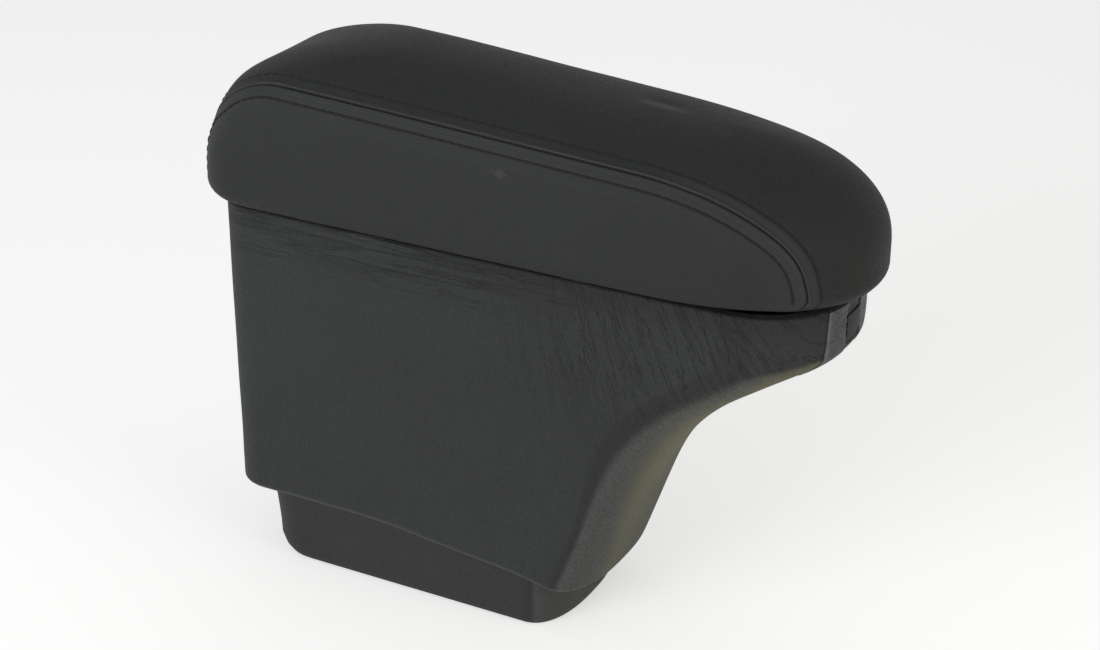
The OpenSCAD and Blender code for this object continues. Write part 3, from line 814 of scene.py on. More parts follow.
@dataclass(frozen=True)
class Matt:
    """A plain-coloured finish with fine texture: moulded plastic, rubber, felt, foam or thread."""

    name: str
    colour: Shades
    scale: float
    depth: float
    roughness: float
    fibrous: bool = False
    sheen: float = 0.0
    gloss: float = 0.3

    def build(self, effects: Effects) -> bpy.types.Material:
        """Makes the material from the shared groups.

        Args:
            effects: The shader node groups.

        Returns:
            The material.
        """
        f = Finish(self.name)
        g = f.g
        tone = f.use(effects.tone, {"Scale": 30.0})
        if self.fibrous:
            fine = f.use(effects.fibres, {"Scale": self.scale})
            fleck = fine.outputs["Fleck"]
        else:
            fine = f.use(effects.grain, {"Scale": self.scale, "Warp": 0.8})
            fleck = fine.outputs["Valley"]
        colour = g.mix(tone.outputs["Tone"], rgba(self.colour, 0.88), rgba(self.colour, 1.12))
        colour = g.mix(g.times(fleck, 0.5), colour, rgba(self.colour, 1.7 if self.fibrous else 0.6))
        rough = g.plus(g.times(tone.outputs["Tone"], 0.1), self.roughness)
        f.wire(colour, rough, [(fine.outputs["Height"], self.depth, 1.0)])
        f.shader.inputs["Specular IOR Level"].default_value = self.gloss
        if self.sheen:
            f.shader.inputs["Sheen Weight"].default_value = self.sheen
        return f.material


@dataclass(frozen=True)
class Zinc:
    """Zinc-plated steel with fine brushing."""

    name: str = "zinc_steel"
    colour: Shades = (0.56, 0.57, 0.58)

    def build(self, effects: Effects) -> bpy.types.Material:
        """Makes the material from the shared groups.

        Args:
            effects: The shader node groups.

        Returns:
            The material.
        """
        f = Finish(self.name)
        g = f.g
        brushed = f.use(effects.creases, {"Stretch": (300, 2600, 2600), "Width": 0.2, "Twist": 0.0})
        tone = f.use(effects.tone, {"Scale": 60.0})
        colour = g.mix(tone.outputs["Tone"], rgba(self.colour, 0.8), rgba(self.colour, 1.05))
        rough = g.plus(g.times(brushed.outputs["Ripple"], 0.2), 0.22)
        f.wire(colour, rough, [(brushed.outputs["Ripple"], 0.00003, 1.0)])
        f.shader.inputs["Metallic"].default_value = 1.0
        return f.material


@dataclass(frozen=True)
class Fibreboard:
    """Raw pressed board under the pad."""

    name: str = "fibreboard"
    colour: Shades = (0.36, 0.25, 0.15)

    def build(self, effects: Effects) -> bpy.types.Material:
        """Makes the material from the shared groups.

        Args:
            effects: The shader node groups.

        Returns:
            The material.
        """
        f = Finish(self.name)
        g = f.g
        chips = f.use(effects.fibres, {"Scale": 700.0})
        tone = f.use(effects.tone, {"Scale": 40.0})
        colour = g.mix(chips.outputs["Fleck"], rgba(self.colour, 0.75), rgba(self.colour, 1.25))
        colour = g.mix(g.times(tone.outputs["Tone"], 0.4), colour, rgba(self.colour, 0.85))
        rough = g.plus(g.times(tone.outputs["Tone"], 0.1), 0.75)
        f.wire(colour, rough, [(chips.outputs["Height"], 0.0002, 1.0)])
        return f.material


@dataclass
class Palette:
    """Every finish of the armrest, by the names that the pieces use."""

    effects: Effects = field(default_factory=Effects)

    def __post_init__(self) -> None:
        """Builds the materials."""
        finishes = (
            Leatherette("lid_leatherette", (0.0278, 0.029, 0.0295), 950.0, 0.00009, 0.5, rub=0.15, gloss=0.1),
            # The box and the foot have painted light and shade on their fronts: a highlight round the corners and a
            # warm reflection between them.
            Leatherette(
                "box_leatherette",
                (0.0335, 0.0355, 0.0358),
                700.0,
                0.00012,
                0.55,
                rub=0.15,
                wrinkles=True,
                band=0.58,
                warm_reflection=0.78
            ),
            Leatherette(
                "foot_leatherette", (0.0345, 0.036, 0.0355), 700.0, 0.00015, 0.57, rub=0.15, band=0.4, warm_reflection=0.12
            ),
            Leatherette("strip_leatherette", (0.074, 0.079, 0.083), 900.0, 0.00006, 0.45, rub=0.3, wrinkles=True),
            Matt("thread", (0.006, 0.006, 0.0065), 2600.0, 0.00012, 0.7, fibrous=True),
            Matt("moulded_plastic", (0.02, 0.02, 0.021), 1100.0, 0.00006, 0.5),
            Matt("latch_plastic", (0.017, 0.018, 0.018), 1800.0, 0.00002, 0.5, gloss=0.12),
            Matt("felt", (0.018, 0.018, 0.019), 900.0, 0.0005, 0.9, fibrous=True, sheen=0.5),
            Matt("foam", (0.62, 0.58, 0.42), 600.0, 0.0006, 0.9, fibrous=True),
            Matt("rubber", (0.015, 0.015, 0.015), 1500.0, 0.00003, 0.7),
            Zinc(),
            Fibreboard(),
        )
        self.made = {finish.name: finish.build(self.effects) for finish in finishes}

    def __getitem__(self, name: str) -> bpy.types.Material:
        """The finish of that name."""
        return self.made[name]


def settle(obj: bpy.types.Object, body: str, nodes: Sequence[str] = ()) -> bpy.types.Object:
    """Puts a finished piece on its body and reports it.

    Args:
        obj: The piece.
        body: The CAD body that it moves with.
        nodes: The CAD nodes that it stands for.

    Returns:
        The piece.
    """
    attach(obj, body)
    if nodes:
        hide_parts(*nodes)
    log.info("%s: %d faces on %s", obj.name, len(obj.data.polygons), body)
    return obj


@dataclass
class PaddedLid:
    """The padded lid: foam, three sewn cover panels and topstitching."""

    palette: Palette
    size: LidSize = LidSize()
    stitch_gap: float = 6.0
    stitch_pitch: float = 4.7
    stitch_length: float = 3.5
    thread: float = 0.85
    rows: dict[tuple[Side, Row], list[tuple[Vector, Vector]]] = field(default_factory=dict)

    def outline(self, inset: float, shrink: float, pull: float, n: Density) -> Grid:
        """The lid's outline set in by a distance."""
        s = self.size
        corner, nose = max(s.rear_r - shrink, 4), s.nose - shrink
        return mirrored(
            half_outline(s.x0 + inset * pull, s.x1 - inset * s.nose_pull, s.half - inset, corner, nose, s.power, n)
        )

    def rings(self, d: float, n: Density, crown: int, from_rise: float = 0.0) -> list[Grid]:
        """The lid's rings from its lower edge to its crown.

        Args:
            d: How far the surface lies inside the cover's outer face.
            n: How many points an outline has.
            crown: How many rings the crown has.
            from_rise: The height above the lower edge at which the rings start.

        Returns:
            The rings, from the bottom up.
        """
        s = self.size
        found = []
        for share in np.linspace(0, 1, 9) ** 1.6:
            rise = share * (s.roll_up - d)
            if rise < from_rise:
                continue
            a = 1 - rise / (s.roll_up - d)
            inset = d + (s.roll_in - d) * (1 - math.sqrt(max(0.0, 1 - a * a)))
            found.append(ring(self.outline(inset, d, 1.0, n), s.z + d + rise))
        for share in (0.35, 0.7):
            found.append(ring(self.outline(d, d, 1.0, n), s.z + s.roll_up + (s.crown_from - s.roll_up) * share))
        for angle in np.linspace(0.01, 88.6, crown):
            cos, sin = math.cos(math.radians(angle)), math.sin(math.radians(angle))
            inset = d + (s.half - d) * (1 - cos ** (2 / s.crown_power))
            pull = d / inset + s.rear_pull * (1 - d / inset) if inset > 0.001 else 1.0
            flat = self.outline(inset, inset * 0.2 + d * 0.8, pull, n)
            crest = s.height - s.fall * (flat[:, 0] - s.x0) / s.length - s.crown_from - d
            found.append(ring(flat, s.z + s.crown_from + crest * sin ** (2 / s.crown_power)))
        return found

    def surface(self) -> Skin:
        """The cover's outer face with its hem, edges along the seams, seams and soft unevenness."""
        s = self.size
        n = Density()
        body = self.rings(0.0, n, 54)
        hem = [
            ring(self.outline(s.roll_in + s.hem * share, s.hem * share, 1.0, n), s.z) for share in (1.0, 0.66, 0.33)
        ]
        skin = Skin(hem + body, top=True)
        outer = (*np.arange(0.2, 1.8, 0.22), *np.arange(1.9, 4.9, 0.2), 5.4, 6.2, 7.5)
        inner = (*np.arange(0.25, 1.8, 0.25), 2.2, 2.9, 3.6, 4.1, *np.arange(4.4, 6.4, 0.22), 6.8, 7.5, 8.5)
        skin.widen(lambda x, z: s.seam / s.seam_at(x, z))
        for side in Side:
            for off in (0.0, *outer, *(-r for r in inner)):
                y = side.value * (s.seam + float(off))
                skin.cut(
                    (0, y, 0), (0, 1, 0), lambda p, y=y, off=off: abs(p.y - y) < 9 and (p.z > s.z + 0.01 or off == 0)
                )
        for x in (s.x0 + s.hem_from, s.x1 - s.hem_to):
            skin.cut((x, 0, 0), (1, 0, 0), lambda p, x=x: p.z <= s.z + 0.01 and abs(p.x - x) < 12)
        wide = skin.tree()
        skin.widen(lambda x, z: s.seam_at(x, z) / s.seam)
        bmesh.ops.dissolve_degenerate(skin.bm, dist=0.002, edges=skin.bm.edges[:])
        self.rows = self.stitch_rows(wide, skin.tree())
        # Painted shade in the seam and along the stitch rows.
        skin.paint("painted_seam_shade", self.seam_shadows)
        # Painted highlights below and along the seam, at the nose and at the small crease.
        skin.paint("painted_highlight", self.sheen)
        skin.move(self.relief)
        return skin

    def from_seam(self, co: Grid, no: Grid) -> Grid:
        """Distance of each point from the seam along the cover, negative on the top panel."""
        slope = np.where(np.linalg.norm(no, axis=1) > 0.5, 1 - no[:, 1] ** 2, 0)
        return (np.abs(co[:, 1]) - self.size.seam_at(co[:, 0], co[:, 2])) / np.sqrt(np.clip(slope, 0.12, 1))

    def beside(self, co: Grid, no: Grid, at: float, width: float) -> Grid:
        """1 on the line at a distance from the seam, falling to 0 over a width, and 0 at the hem."""
        return np.exp(-(((self.from_seam(co, no) - at) / width) ** 2)) * ease((co[:, 2] - self.size.z - 3) / 3)

    def stitch_rows(self, wide: BVHTree, smooth: BVHTree) -> dict[tuple[Side, Row], list[tuple[Vector, Vector]]]:
        """The lines that the topstitching follows.

        Args:
            wide: The search tree of the cover while it is widened so that the seams lie on planes.
            smooth: The search tree of the cover's outer face before its relief.

        Returns:
            The points and normals of each row, from the nose to the rear.
        """
        s = self.size
        rows = {}
        for side in Side:
            middle = Vector((50, side.value * s.seam, s.z + 12))
            hits = []
            for turn in np.linspace(math.radians(-4.5), math.radians(184.5), 1800):
                place = wide.ray_cast(middle, Vector((math.cos(turn), 0, math.sin(turn))))[0]
                if place is not None and place.z > s.z + 5.5:
                    place.y *= float(s.seam_at(place.x, place.z)) / s.seam
                    hits.append(smooth.find_nearest(place)[:2])
            for row in Row:
                line = rows[side, row] = []
                for (a, na), (b, _) in zip(hits, hits[1:]):
                    across = (b - a).cross(na).normalized()
                    across *= 1 if across.y * side.value > 0 else -1
                    line.append(smooth.find_nearest(a + across * self.stitch_gap * row.value)[:2])
        return rows

    def from_row(self, co: Grid, row: Row) -> Grid:
        """Distance of each point from the nearest stitch line of a row, at most 5."""
        points = [p for side in Side for p, _ in self.rows[side, row]]
        tree = KDTree(len(points))
        for k, p in enumerate(points):
            tree.insert(p, k)
        tree.balance()
        close = np.abs(np.abs(co[:, 1]) - self.size.seam_at(co[:, 0], co[:, 2])) < 11
        found = np.full(len(co), 5.0)
        found[close] = [min(tree.find(p)[2], 5.0) for p in co[close].tolist()]
        return found

    def seam_shadows(self, co: Grid, no: Grid) -> Grid:
        """Painted shade in the cover's seam and along both stitch rows; the upper row gets less along the top, where
        it is lit, and more towards the nose.
        """
        line = lambda row: np.exp(-((self.from_row(co, row) / 0.45) ** 2))
        upper = 0.25 + 0.4 * ease((co[:, 0] - 110) / 50)
        return 0.95 * self.beside(co, no, 0.1, 0.3) + 0.9 * line(Row.LOWER) + upper * line(Row.UPPER)

    def sheen(self, co: Grid, no: Grid) -> Grid:
        """Painted highlight on the cover: lighter below its seam, along the seam's raised edge, at its nose and at the
        small crease.
        """
        d = self.from_seam(co, no)
        side = (0.11 * np.exp(-np.clip(d, 0, None) / 20) + 0.02) * (d > -0.2)
        nose = 0.1 * self.beside(co, no, -3.2, 2.2) * ease((co[:, 0] - 120) / 40)
        return side + nose + 0.2 * self.beside(co, no, -0.75, 0.28) + 0.5 * self.spot(co, self.size.crease_y, 2.6)

    def spot(self, co: Grid, y: float, width: float) -> Grid:
        """1 at the small crease on top, at a distance y from the middle, falling to 0 over a width."""
        return np.exp(
            -(((co[:, 0] - self.size.crease_x) / 9) ** 2 + ((co[:, 1] - y) / width) ** 2)
        ) * (co[:, 2] > self.size.z + 30)

    def corner(self, co: Grid) -> Grid:
        """How far the rear corners are pulled in at mid height, as a negative distance."""
        rear = ease((self.size.x0 + 48 - co[:, 0]) / 40)
        rise = co[:, 2] - self.size.z
        return -1.9 * np.exp(-(((rise - self.size.rear_mid) / 15) ** 2)) * ease((np.abs(co[:, 1]) - 10) / 25) * rear

    def relief(self, co: Grid, no: Grid) -> Grid:
        """How far the cover stands out along its normals: seams, stitch grooves, soft swells and a small crease.

        Args:
            co: The points, in millimetres.
            no: Their normals.

        Returns:
            The distances, in millimetres.
        """
        s = self.size
        d = self.from_seam(co, no)
        bell = lambda at, width: np.exp(-(((d - at) / width) ** 2))
        seam = -0.75 * bell(0, 0.38) + 0.38 * bell(-1.1, 0.7) + 0.2 * bell(1.4, 0.9)
        band = 0.28 * ease(1 - (np.abs(d) - 4) / 3)
        groove = -0.3 * sum(np.exp(-((self.from_row(co, row) / 0.6) ** 2)) for row in Row)
        shown = ease((co[:, 2] - s.z) / 3)
        swell = 0.2 * waves(co, 3, 80) + 0.05 * waves(co, 8, 26)
        crease = 0.6 * self.spot(co, s.crease_y, 2.4) - 0.6 * self.spot(co, s.dip_y, 3.2)
        crest = 0.75 * np.exp(-(((co[:, 2] - s.z - s.rear_crest) / 9) ** 2)) * ease((s.x0 + 48 - co[:, 0]) / 40)
        pad = (0.5 + 0.7 * np.exp(-(((co[:, 0] - 5) / 50) ** 2))) * ease((no[:, 2] - 0.25) / 0.5)
        pad *= ease((co[:, 0] + 85) / 60) * ease((175 - co[:, 0]) / 60)
        return (seam + band + groove + swell * ease(np.abs(d) / 9)) * shown + crease + self.corner(co) + crest + pad

    def cover(self) -> BVHTree:
        """Builds the three panels and gives the search tree of their outer face."""
        s = self.size
        skin = self.surface()
        tree = skin.tree()

        def of_side(p: Vector, sign: int) -> bool:
            """Whether a face belongs to the side panel of that sign."""
            if p.z <= s.z + 0.01 and s.x0 + s.hem_from < p.x < s.x1 - s.hem_to:
                return p.y * sign > 0
            return p.y * sign > float(s.seam_at(p.x, p.z))

        tests = {
            "lid_cover_top": lambda p: not of_side(p, 1) and not of_side(p, -1),
            "lid_cover_right": lambda p: of_side(p, -1),
            "lid_cover_left": lambda p: of_side(p, 1),
        }
        for node, test in tests.items():
            panel = skin.part(test).thicken(s.cover_t - 0.1).piece(
                node.replace("cover", "panel"), self.palette["lid_leatherette"], 60
            )
            settle(panel, "lid", [node])
        skin.bm.free()
        return tree

    def foam(self) -> None:
        """The pad's foam, under the cover and on the board."""
        s = self.size
        core = Skin(
            self.rings(s.cover_t + 0.6, Density(6, 8, 30, 18), 24, from_rise=s.board_t - 0.4), top=True, bottom=True
        )
        core.move(lambda co, no: 1.25 * self.corner(co) - 0.35 * ease((s.x0 + 60 - co[:, 0]) / 40))
        block = core.piece("lid_pad_foam", self.palette["foam"])
        settle(block, "lid", ["lid_foam"])

    def stitches(self, tree: BVHTree) -> None:
        """Four rows of topstitching, made by Geometry Nodes along lines on the cover.

        Args:
            tree: The search tree of the cover's outer face.
        """
        verts, normals, edges = [], [], []
        for line in self.rows.values():
            start = len(verts)
            for place, normal in line[::4]:
                verts.append((tree.find_nearest(place)[0] + normal * self.thread * 0.08) * MM)
                normals.append(normal)
            edges += [(i, i + 1) for i in range(start, len(verts) - 1)]
        mesh = bpy.data.meshes.new("stitch_lines")
        mesh.from_pydata(verts, edges, [])
        facing = mesh.attributes.new("facing", "FLOAT_VECTOR", "POINT")
        facing.data.foreach_set("vector", np.array(normals, np.float32).ravel())
        lines = in_scene("stitch_lines", mesh)
        modifier = lines.modifiers.new("stitching", "NODES")
        modifier.node_group = self.stitch_tree()
        sizes = {"Pitch": self.stitch_pitch, "Length": self.stitch_length, "Thread": self.thread}
        for item in modifier.node_group.interface.items_tree:
            if item.item_type == "SOCKET" and item.in_out == "INPUT" and item.name in sizes:
                modifier[item.identifier] = sizes[item.name] * MM
        graph = bpy.context.evaluated_depsgraph_get()
        made = bpy.data.meshes.new_from_object(lines.evaluated_get(graph))
        bpy.data.objects.remove(lines)
        made.name = "lid_stitches"
        settle(in_scene(made.name, made), "lid")

    def stitch_tree(self) -> bpy.types.NodeTree:
        """The Geometry Nodes tree that sets stitches along lines."""
        tree = bpy.data.node_groups.new("Stitching", "GeometryNodeTree")
        tree.interface.new_socket("Lines", in_out="INPUT", socket_type="NodeSocketGeometry")
        for name, value in (("Pitch", 0.0047), ("Length", 0.0035), ("Thread", 0.0007)):
            socket = tree.interface.new_socket(name, in_out="INPUT", socket_type="NodeSocketFloat")
            socket.default_value = value
        tree.interface.new_socket("Stitches", in_out="OUTPUT", socket_type="NodeSocketGeometry")
        g = Graph(tree)
        start, end = g.add("NodeGroupInput"), g.add("NodeGroupOutput")
        curve = g.add("GeometryNodeMeshToCurve", {0: start.outputs["Lines"]})
        spaced = g.add(
            "GeometryNodeResampleCurve", {"Curve": curve.outputs[0], "Length": start.outputs["Pitch"]}, mode="LENGTH"
        )
        facing = g.add("GeometryNodeInputNamedAttribute", {"Name": "facing"}, data_type="FLOAT_VECTOR")
        tangent = g.add("GeometryNodeInputTangent")
        along = g.add("FunctionNodeAlignEulerToVector", {"Vector": tangent.outputs[0]}, axis="Z")
        up = g.add(
            "FunctionNodeAlignEulerToVector",
            {"Rotation": along.outputs[0], "Vector": facing.outputs[0]},
            axis="X",
            pivot_axis="Z"
        )
        ball = g.add("GeometryNodeMeshUVSphere", {"Segments": 8, "Rings": 6, "Radius": 0.5})
        size = g.add(
            "ShaderNodeCombineXYZ",
            {0: start.outputs["Thread"], 1: start.outputs["Thread"], 2: start.outputs["Length"]}
        )
        sized = g.add("GeometryNodeTransform", {"Geometry": ball.outputs[0], "Scale": size.outputs[0]})
        placed = g.add(
            "GeometryNodeInstanceOnPoints",
            {"Points": spaced.outputs[0], "Instance": sized.outputs[0], "Rotation": up.outputs[0]}
        )
        real = g.add("GeometryNodeRealizeInstances", {0: placed.outputs[0]})
        smooth = g.add("GeometryNodeSetShadeSmooth", {0: real.outputs[0]})
        dressed = g.add("GeometryNodeSetMaterial", {0: smooth.outputs[0]})
        dressed.inputs["Material"].default_value = self.palette["thread"]
        tree.links.new(dressed.outputs[0], end.inputs[0])
        return tree

    def build(self) -> None:
        """Builds every piece of the lid."""
        tree = self.cover()
        self.foam()
        self.stitches(tree)


@dataclass
class WrappedBox:
    """The box's leatherette wrap and its felt lining."""

    palette: Palette
    size: BoxSize = BoxSize()
    foot: FootSize = FootSize()

    def arch_at(self, x: Grid | float) -> Grid:
        """Height of the underside's arch over the front bottom edge."""
        s = self.size
        x = np.asarray(x)
        u = np.clip((x - s.arch_from) / (s.front_x - s.arch_from), 0, 1)
        sag = 0.8 + 2.3 * np.exp(-(((x - 27) / 34) ** 2)) + 0.7 * ease((x - 50) / 40)
        return s.arch * (1 - u * u) - sag

    def outline(self, x: float, z: float, d: float, rise: float, n: Density) -> Grid:
        """The box's ring at a level whose front point is at x and z."""
        s = self.size
        fade = 1 - (z - s.front_z) / (s.rim - s.front_z)
        rounding = s.front_round + (s.nose_len - s.front_round) * ease(
            (z - s.round_from) / (s.meet[1] - s.round_from)
        )
        flat = mirrored(
            half_outline(
                d + heel(rise, s.heel_r) - s.back,
                x - heel(rise, s.edge_r),
                s.half - d - heel(rise, s.edge_r),
                max(s.rear_r - d, 3),
                max(float(rounding) - d, 6),
                s.power,
                n,
            )
        )
        return ring(flat, z + self.arch_at(flat[:, 0]) * fade)

    def profile(self, d: float, top: float) -> list[tuple[float, float]]:
        """Points of the front profile as (x, z), from the bottom up: lower face, hollow, underside, nose, wall."""
        s = self.size
        lean, nose_lean, rake = (math.radians(v) for v in (s.lean, s.nose_lean, s.rake))
        face = [
            (
                s.front_x - d * math.cos(lean) + r * math.sin(lean),
                s.front_z + d * math.sin(lean) + r * math.cos(lean)
            ) for r in np.linspace(0, 0.95, 12) * s.run
        ]
        turn_x = s.front_x + s.run * math.sin(lean) + s.hollow_r * math.cos(lean)
        turn_z = s.front_z + s.run * math.cos(lean) - s.hollow_r * math.sin(lean)
        wide = s.hollow_r + d
        hollow = [
            (turn_x - wide * math.cos(a), turn_z + wide * math.sin(a)) for a in np.linspace(lean, nose_lean, 26)
        ]
        centre_x = s.meet[0] - s.nose_r * (math.sin(nose_lean) - math.sin(rake)) / math.sin(nose_lean - rake)
        centre_z = s.meet[1] + s.nose_r * (math.cos(rake) - math.cos(nose_lean)) / math.sin(nose_lean - rake)
        r = s.nose_r - d
        nose = [(centre_x + r * math.cos(a), centre_z - r * math.sin(a)) for a in np.linspace(nose_lean, rake, 9)]
        wall = (s.nose_x - (s.rim - top) * math.tan(rake) - d / math.cos(rake), top)
        under = self.between(hollow[-1], nose[0], (0.2, 0.4, 0.6, 0.8))
        return face + hollow + under + nose + self.between(nose[-1], wall, (0.25, 0.5, 0.75, 1.0))

    @staticmethod
    def between(a: Sequence[float], b: Sequence[float], shares: Sequence[float]) -> list[tuple[float, float]]:
        """Points on the way from a to b."""
        return [(a[0] + (b[0] - a[0]) * share, a[1] + (b[1] - a[1]) * share) for share in shares]

    def rings(self, d: float, base: float, top: float, n: Density) -> list[Grid]:
        """The box's rings set in by d, from base above its underside up to top."""
        s = self.size
        floor = s.front_z + base
        lean = math.radians(s.lean)
        foot_x = s.front_x + base * math.tan(lean) - d / math.cos(lean)
        low = [0, 0.12, 0.3, 0.6, 1.1, 1.8, 2.5, 3.6, 4.8, 6]
        found = [self.outline(foot_x + rise * math.tan(lean), floor + rise, d, rise, n) for rise in low]
        levels = [p for p in self.profile(d, top) if p[1] > floor + 7.5]
        return found + [self.outline(x, z, d, s.heel_r, n) for x, z in levels]

    def wrap(self) -> None:
        """The leatherette wrap: turned in under the bottom edge and over the rim, open where the latch sits."""
        s, f = self.size, self.foot
        n = Density(12, 18, 80, 36)
        body = self.rings(0.0, 0.0, s.rim - 1.4, n)
        rim = []
        for turn in (30, 60, 90):
            t = math.radians(turn)
            rim.append(
                self.outline(
                    s.nose_x - 1.4 * (1 - math.cos(t)),
                    s.rim - 1.4 * (1 - math.sin(t)),
                    1.4 * (1 - math.cos(t)),
                    s.heel_r,
                    n
                )
            )
        inner = self.outline(s.nose_x - s.wall_in, s.rim, s.wall_in, s.heel_r, n)
        inset = s.window_in
        window = mirrored(
            half_outline(
                inset - f.length / 2,
                f.length / 2 - inset,
                f.half - inset,
                f.rear_r - inset,
                f.nose - inset,
                s.power,
                n
            )
        )
        hem = ring(window, s.front_z + self.arch_at(window[:, 0]))
        skin = Skin([hem, hem + (body[0] - hem) * 0.5, *body, *rim, inner])
        front = lambda p: p.x > 170 and p.z > 155
        for y in (20.2, 22, 24, 26):
            skin.cut((0, y, 0), (0, 1, 0), front)
            skin.cut((0, -y, 0), (0, 1, 0), front)
        for z in (s.latch_low, s.latch_high):
            skin.cut((0, 0, z), (0, 0, 1), front)
        skin.drop(lambda p: front(p) and abs(p.y) < s.latch_half and s.latch_low < p.z < s.latch_high)
        # Painted highlight along the bottom edge.
        skin.paint("painted_highlight", self.bottom_edge_highlight)
        skin.move(
            lambda co,
            no: self.lip(co) + 0.22 * waves(co, 21, 60) * ease((co[:, 2] - 45) / 30) * ease(
                (s.rim - 6 - co[:, 2]) / 20
            )
        )
        wrap = skin.thicken(s.cover_t - 0.1).piece("box_wrap", self.palette["box_leatherette"])
        settle(wrap, "box", ["box_cover"])

    def bottom_edge_highlight(self, co: Grid, no: Grid) -> Grid:
        """Painted highlight along the rounded bottom edge, stronger towards the front."""
        rise = co[:, 2] - self.size.front_z - self.arch_at(co[:, 0])
        strength = 0.42 + 0.4 * ease((co[:, 0] - 78) / 12)
        return strength * np.exp(-(((rise - 1.2) / 0.9) ** 2)) * (np.abs(no[:, 2]) < 0.98)

    def lip(self, co: Grid) -> Grid:
        """How far the wrap is stretched out below and beside the latch, to lie flush with its upright front."""
        s = self.size
        y = np.abs(co[:, 1])
        back = s.nose_len * (1 - (1 - np.minimum(y / s.half, 1) ** s.power) ** (1 / s.power))
        wall = s.nose_x - (s.rim - co[:, 2]) * math.tan(math.radians(s.rake)) - back
        latch = s.latch_x - s.latch_curve + np.sqrt(s.latch_curve**2 - np.minimum(y, s.latch_half) ** 2)
        near = ease((27 - y) / 6.5) * ease((co[:, 2] - s.latch_low + 8.3) / 8.3) * (co[:, 0] > 160)
        return np.clip(latch - wall, 0, 1.8) * near

    def strips(self) -> None:
        """The two smooth strips beside the latch, folded over the nose, each with a painted highlight along its outer
        edge.
        """
        s = self.size
        line = np.array(self.profile(0.0, s.rim - 0.3)[-17:])
        along = np.concatenate([[0], np.cumsum(np.hypot(*np.diff(line, axis=0).T))])
        at = np.arange(along[4] - 5, along[-1], 0.8)
        x, z = np.interp(at, along, line[:, 0]), np.interp(at, along, line[:, 1])
        for side in Side:
            inner = s.strip_in + 0.7 * np.sin(at * 2.6) * np.sin(at * 0.9 + 1)
            share = np.linspace(0, 1, 20)
            y = inner[:, None] + (s.strip_out - inner[:, None]) * share
            back = s.nose_len * (1 - (1 - (y / s.half) ** s.power) ** (1 / s.power))
            grid = np.stack([x[:, None] - back, y * side.value, np.broadcast_to(z[:, None], y.shape)], 2)
            skin = Skin.patch(list(grid if side is Side.LEFT else grid[:, ::-1]))
            # Painted highlight along the strip's outer edge.
            skin.paint("painted_highlight", lambda co, no: np.exp(-(((np.abs(co[:, 1]) - 21.1) / 0.75) ** 2)))
            skin.move(lambda co, no: 0.4 + self.lip(co))
            strip = skin.thicken(0.25).piece(f"nose_strip_{side.name.lower()}", self.palette["strip_leatherette"])
            settle(strip, "box")

    def lining(self) -> None:
        """The felt lining of the compartment's walls, open above and below and round the latch."""
        s = self.size
        n = Density(6, 12, 46, 26)
        skin = Skin(self.rings(s.wall_in + 0.1, s.wall_in + 0.1, s.rim - s.felt_drop, n))
        front = lambda p: p.x > s.ear_back - 12 and p.z > s.ear_low - 12
        for y in (-s.ear_half, s.ear_half):
            skin.cut((0, y, 0), (0, 1, 0), front)
        skin.cut((0, 0, s.ear_low), (0, 0, 1), front)
        skin.drop(lambda p: front(p) and abs(p.y) < s.ear_half and p.z > s.ear_low)
        skin.move(lambda co, no: 0.05 * waves(co, 41, 18) - 0.05)
        felt = skin.thicken(s.felt_t - 0.15).piece("felt_lining", self.palette["felt"])
        settle(felt, "box", ["box_felt"])

    def build(self) -> None:
        """Builds the wrap, the strips at the nose and the lining."""
        self.wrap()
        self.strips()
        self.lining()


@dataclass
class WrappedFoot:
    """The leatherette wrap of the foot."""

    palette: Palette
    box: WrappedBox
    size: FootSize = FootSize()

    def outline(self, inset: float, z: float, n: Density) -> Grid:
        """The foot's outline set in by a distance at a height."""
        s = self.size
        rear = inset - s.length / 2 - z * s.lean
        return mirrored(
            half_outline(
                rear,
                s.length / 2 - 0.5 - inset * 0.6,
                s.half - inset + z * s.lean / 4,
                s.rear_r,
                s.nose,
                self.box.size.power,
                n
            )
        )

    def build(self) -> None:
        """Builds the wrap from its hem under the foot up to the box's underside."""
        s = self.size
        n = Density(10, 16, 50, 22)
        hem = [ring(self.outline(s.levels[0][1] + s.hem * share, 0, n), 0.0) for share in (1.0, 0.5)]
        low = []
        heights, insets = zip(*s.levels)
        for z in (0, 0.3, 0.7, 1.2, 1.9, 2.8, 4, 6, 9):
            low.append(ring(self.outline(float(np.interp(z, heights, insets)), z, n), float(z)))
        sides = []
        for share in (0.2, 0.4, 0.6, 0.8, 1.0):
            flat = self.outline(0.2 * (1 - share), 9 + (30 - 9) * share, n)
            top = self.box.size.front_z + self.box.arch_at(flat[:, 0]) + 0.15
            sides.append(ring(flat, 9 + (top - 9) * share))
        skin = Skin([*hem, *low, *sides])
        skin.move(lambda co, no: 0.18 * waves(co, 33, 45) * ease((co[:, 2] - 4) / 8))
        wrap = skin.thicken(1.1).piece("foot_wrap", self.palette["foot_leatherette"])
        settle(wrap, "box", ["foot_cover"])


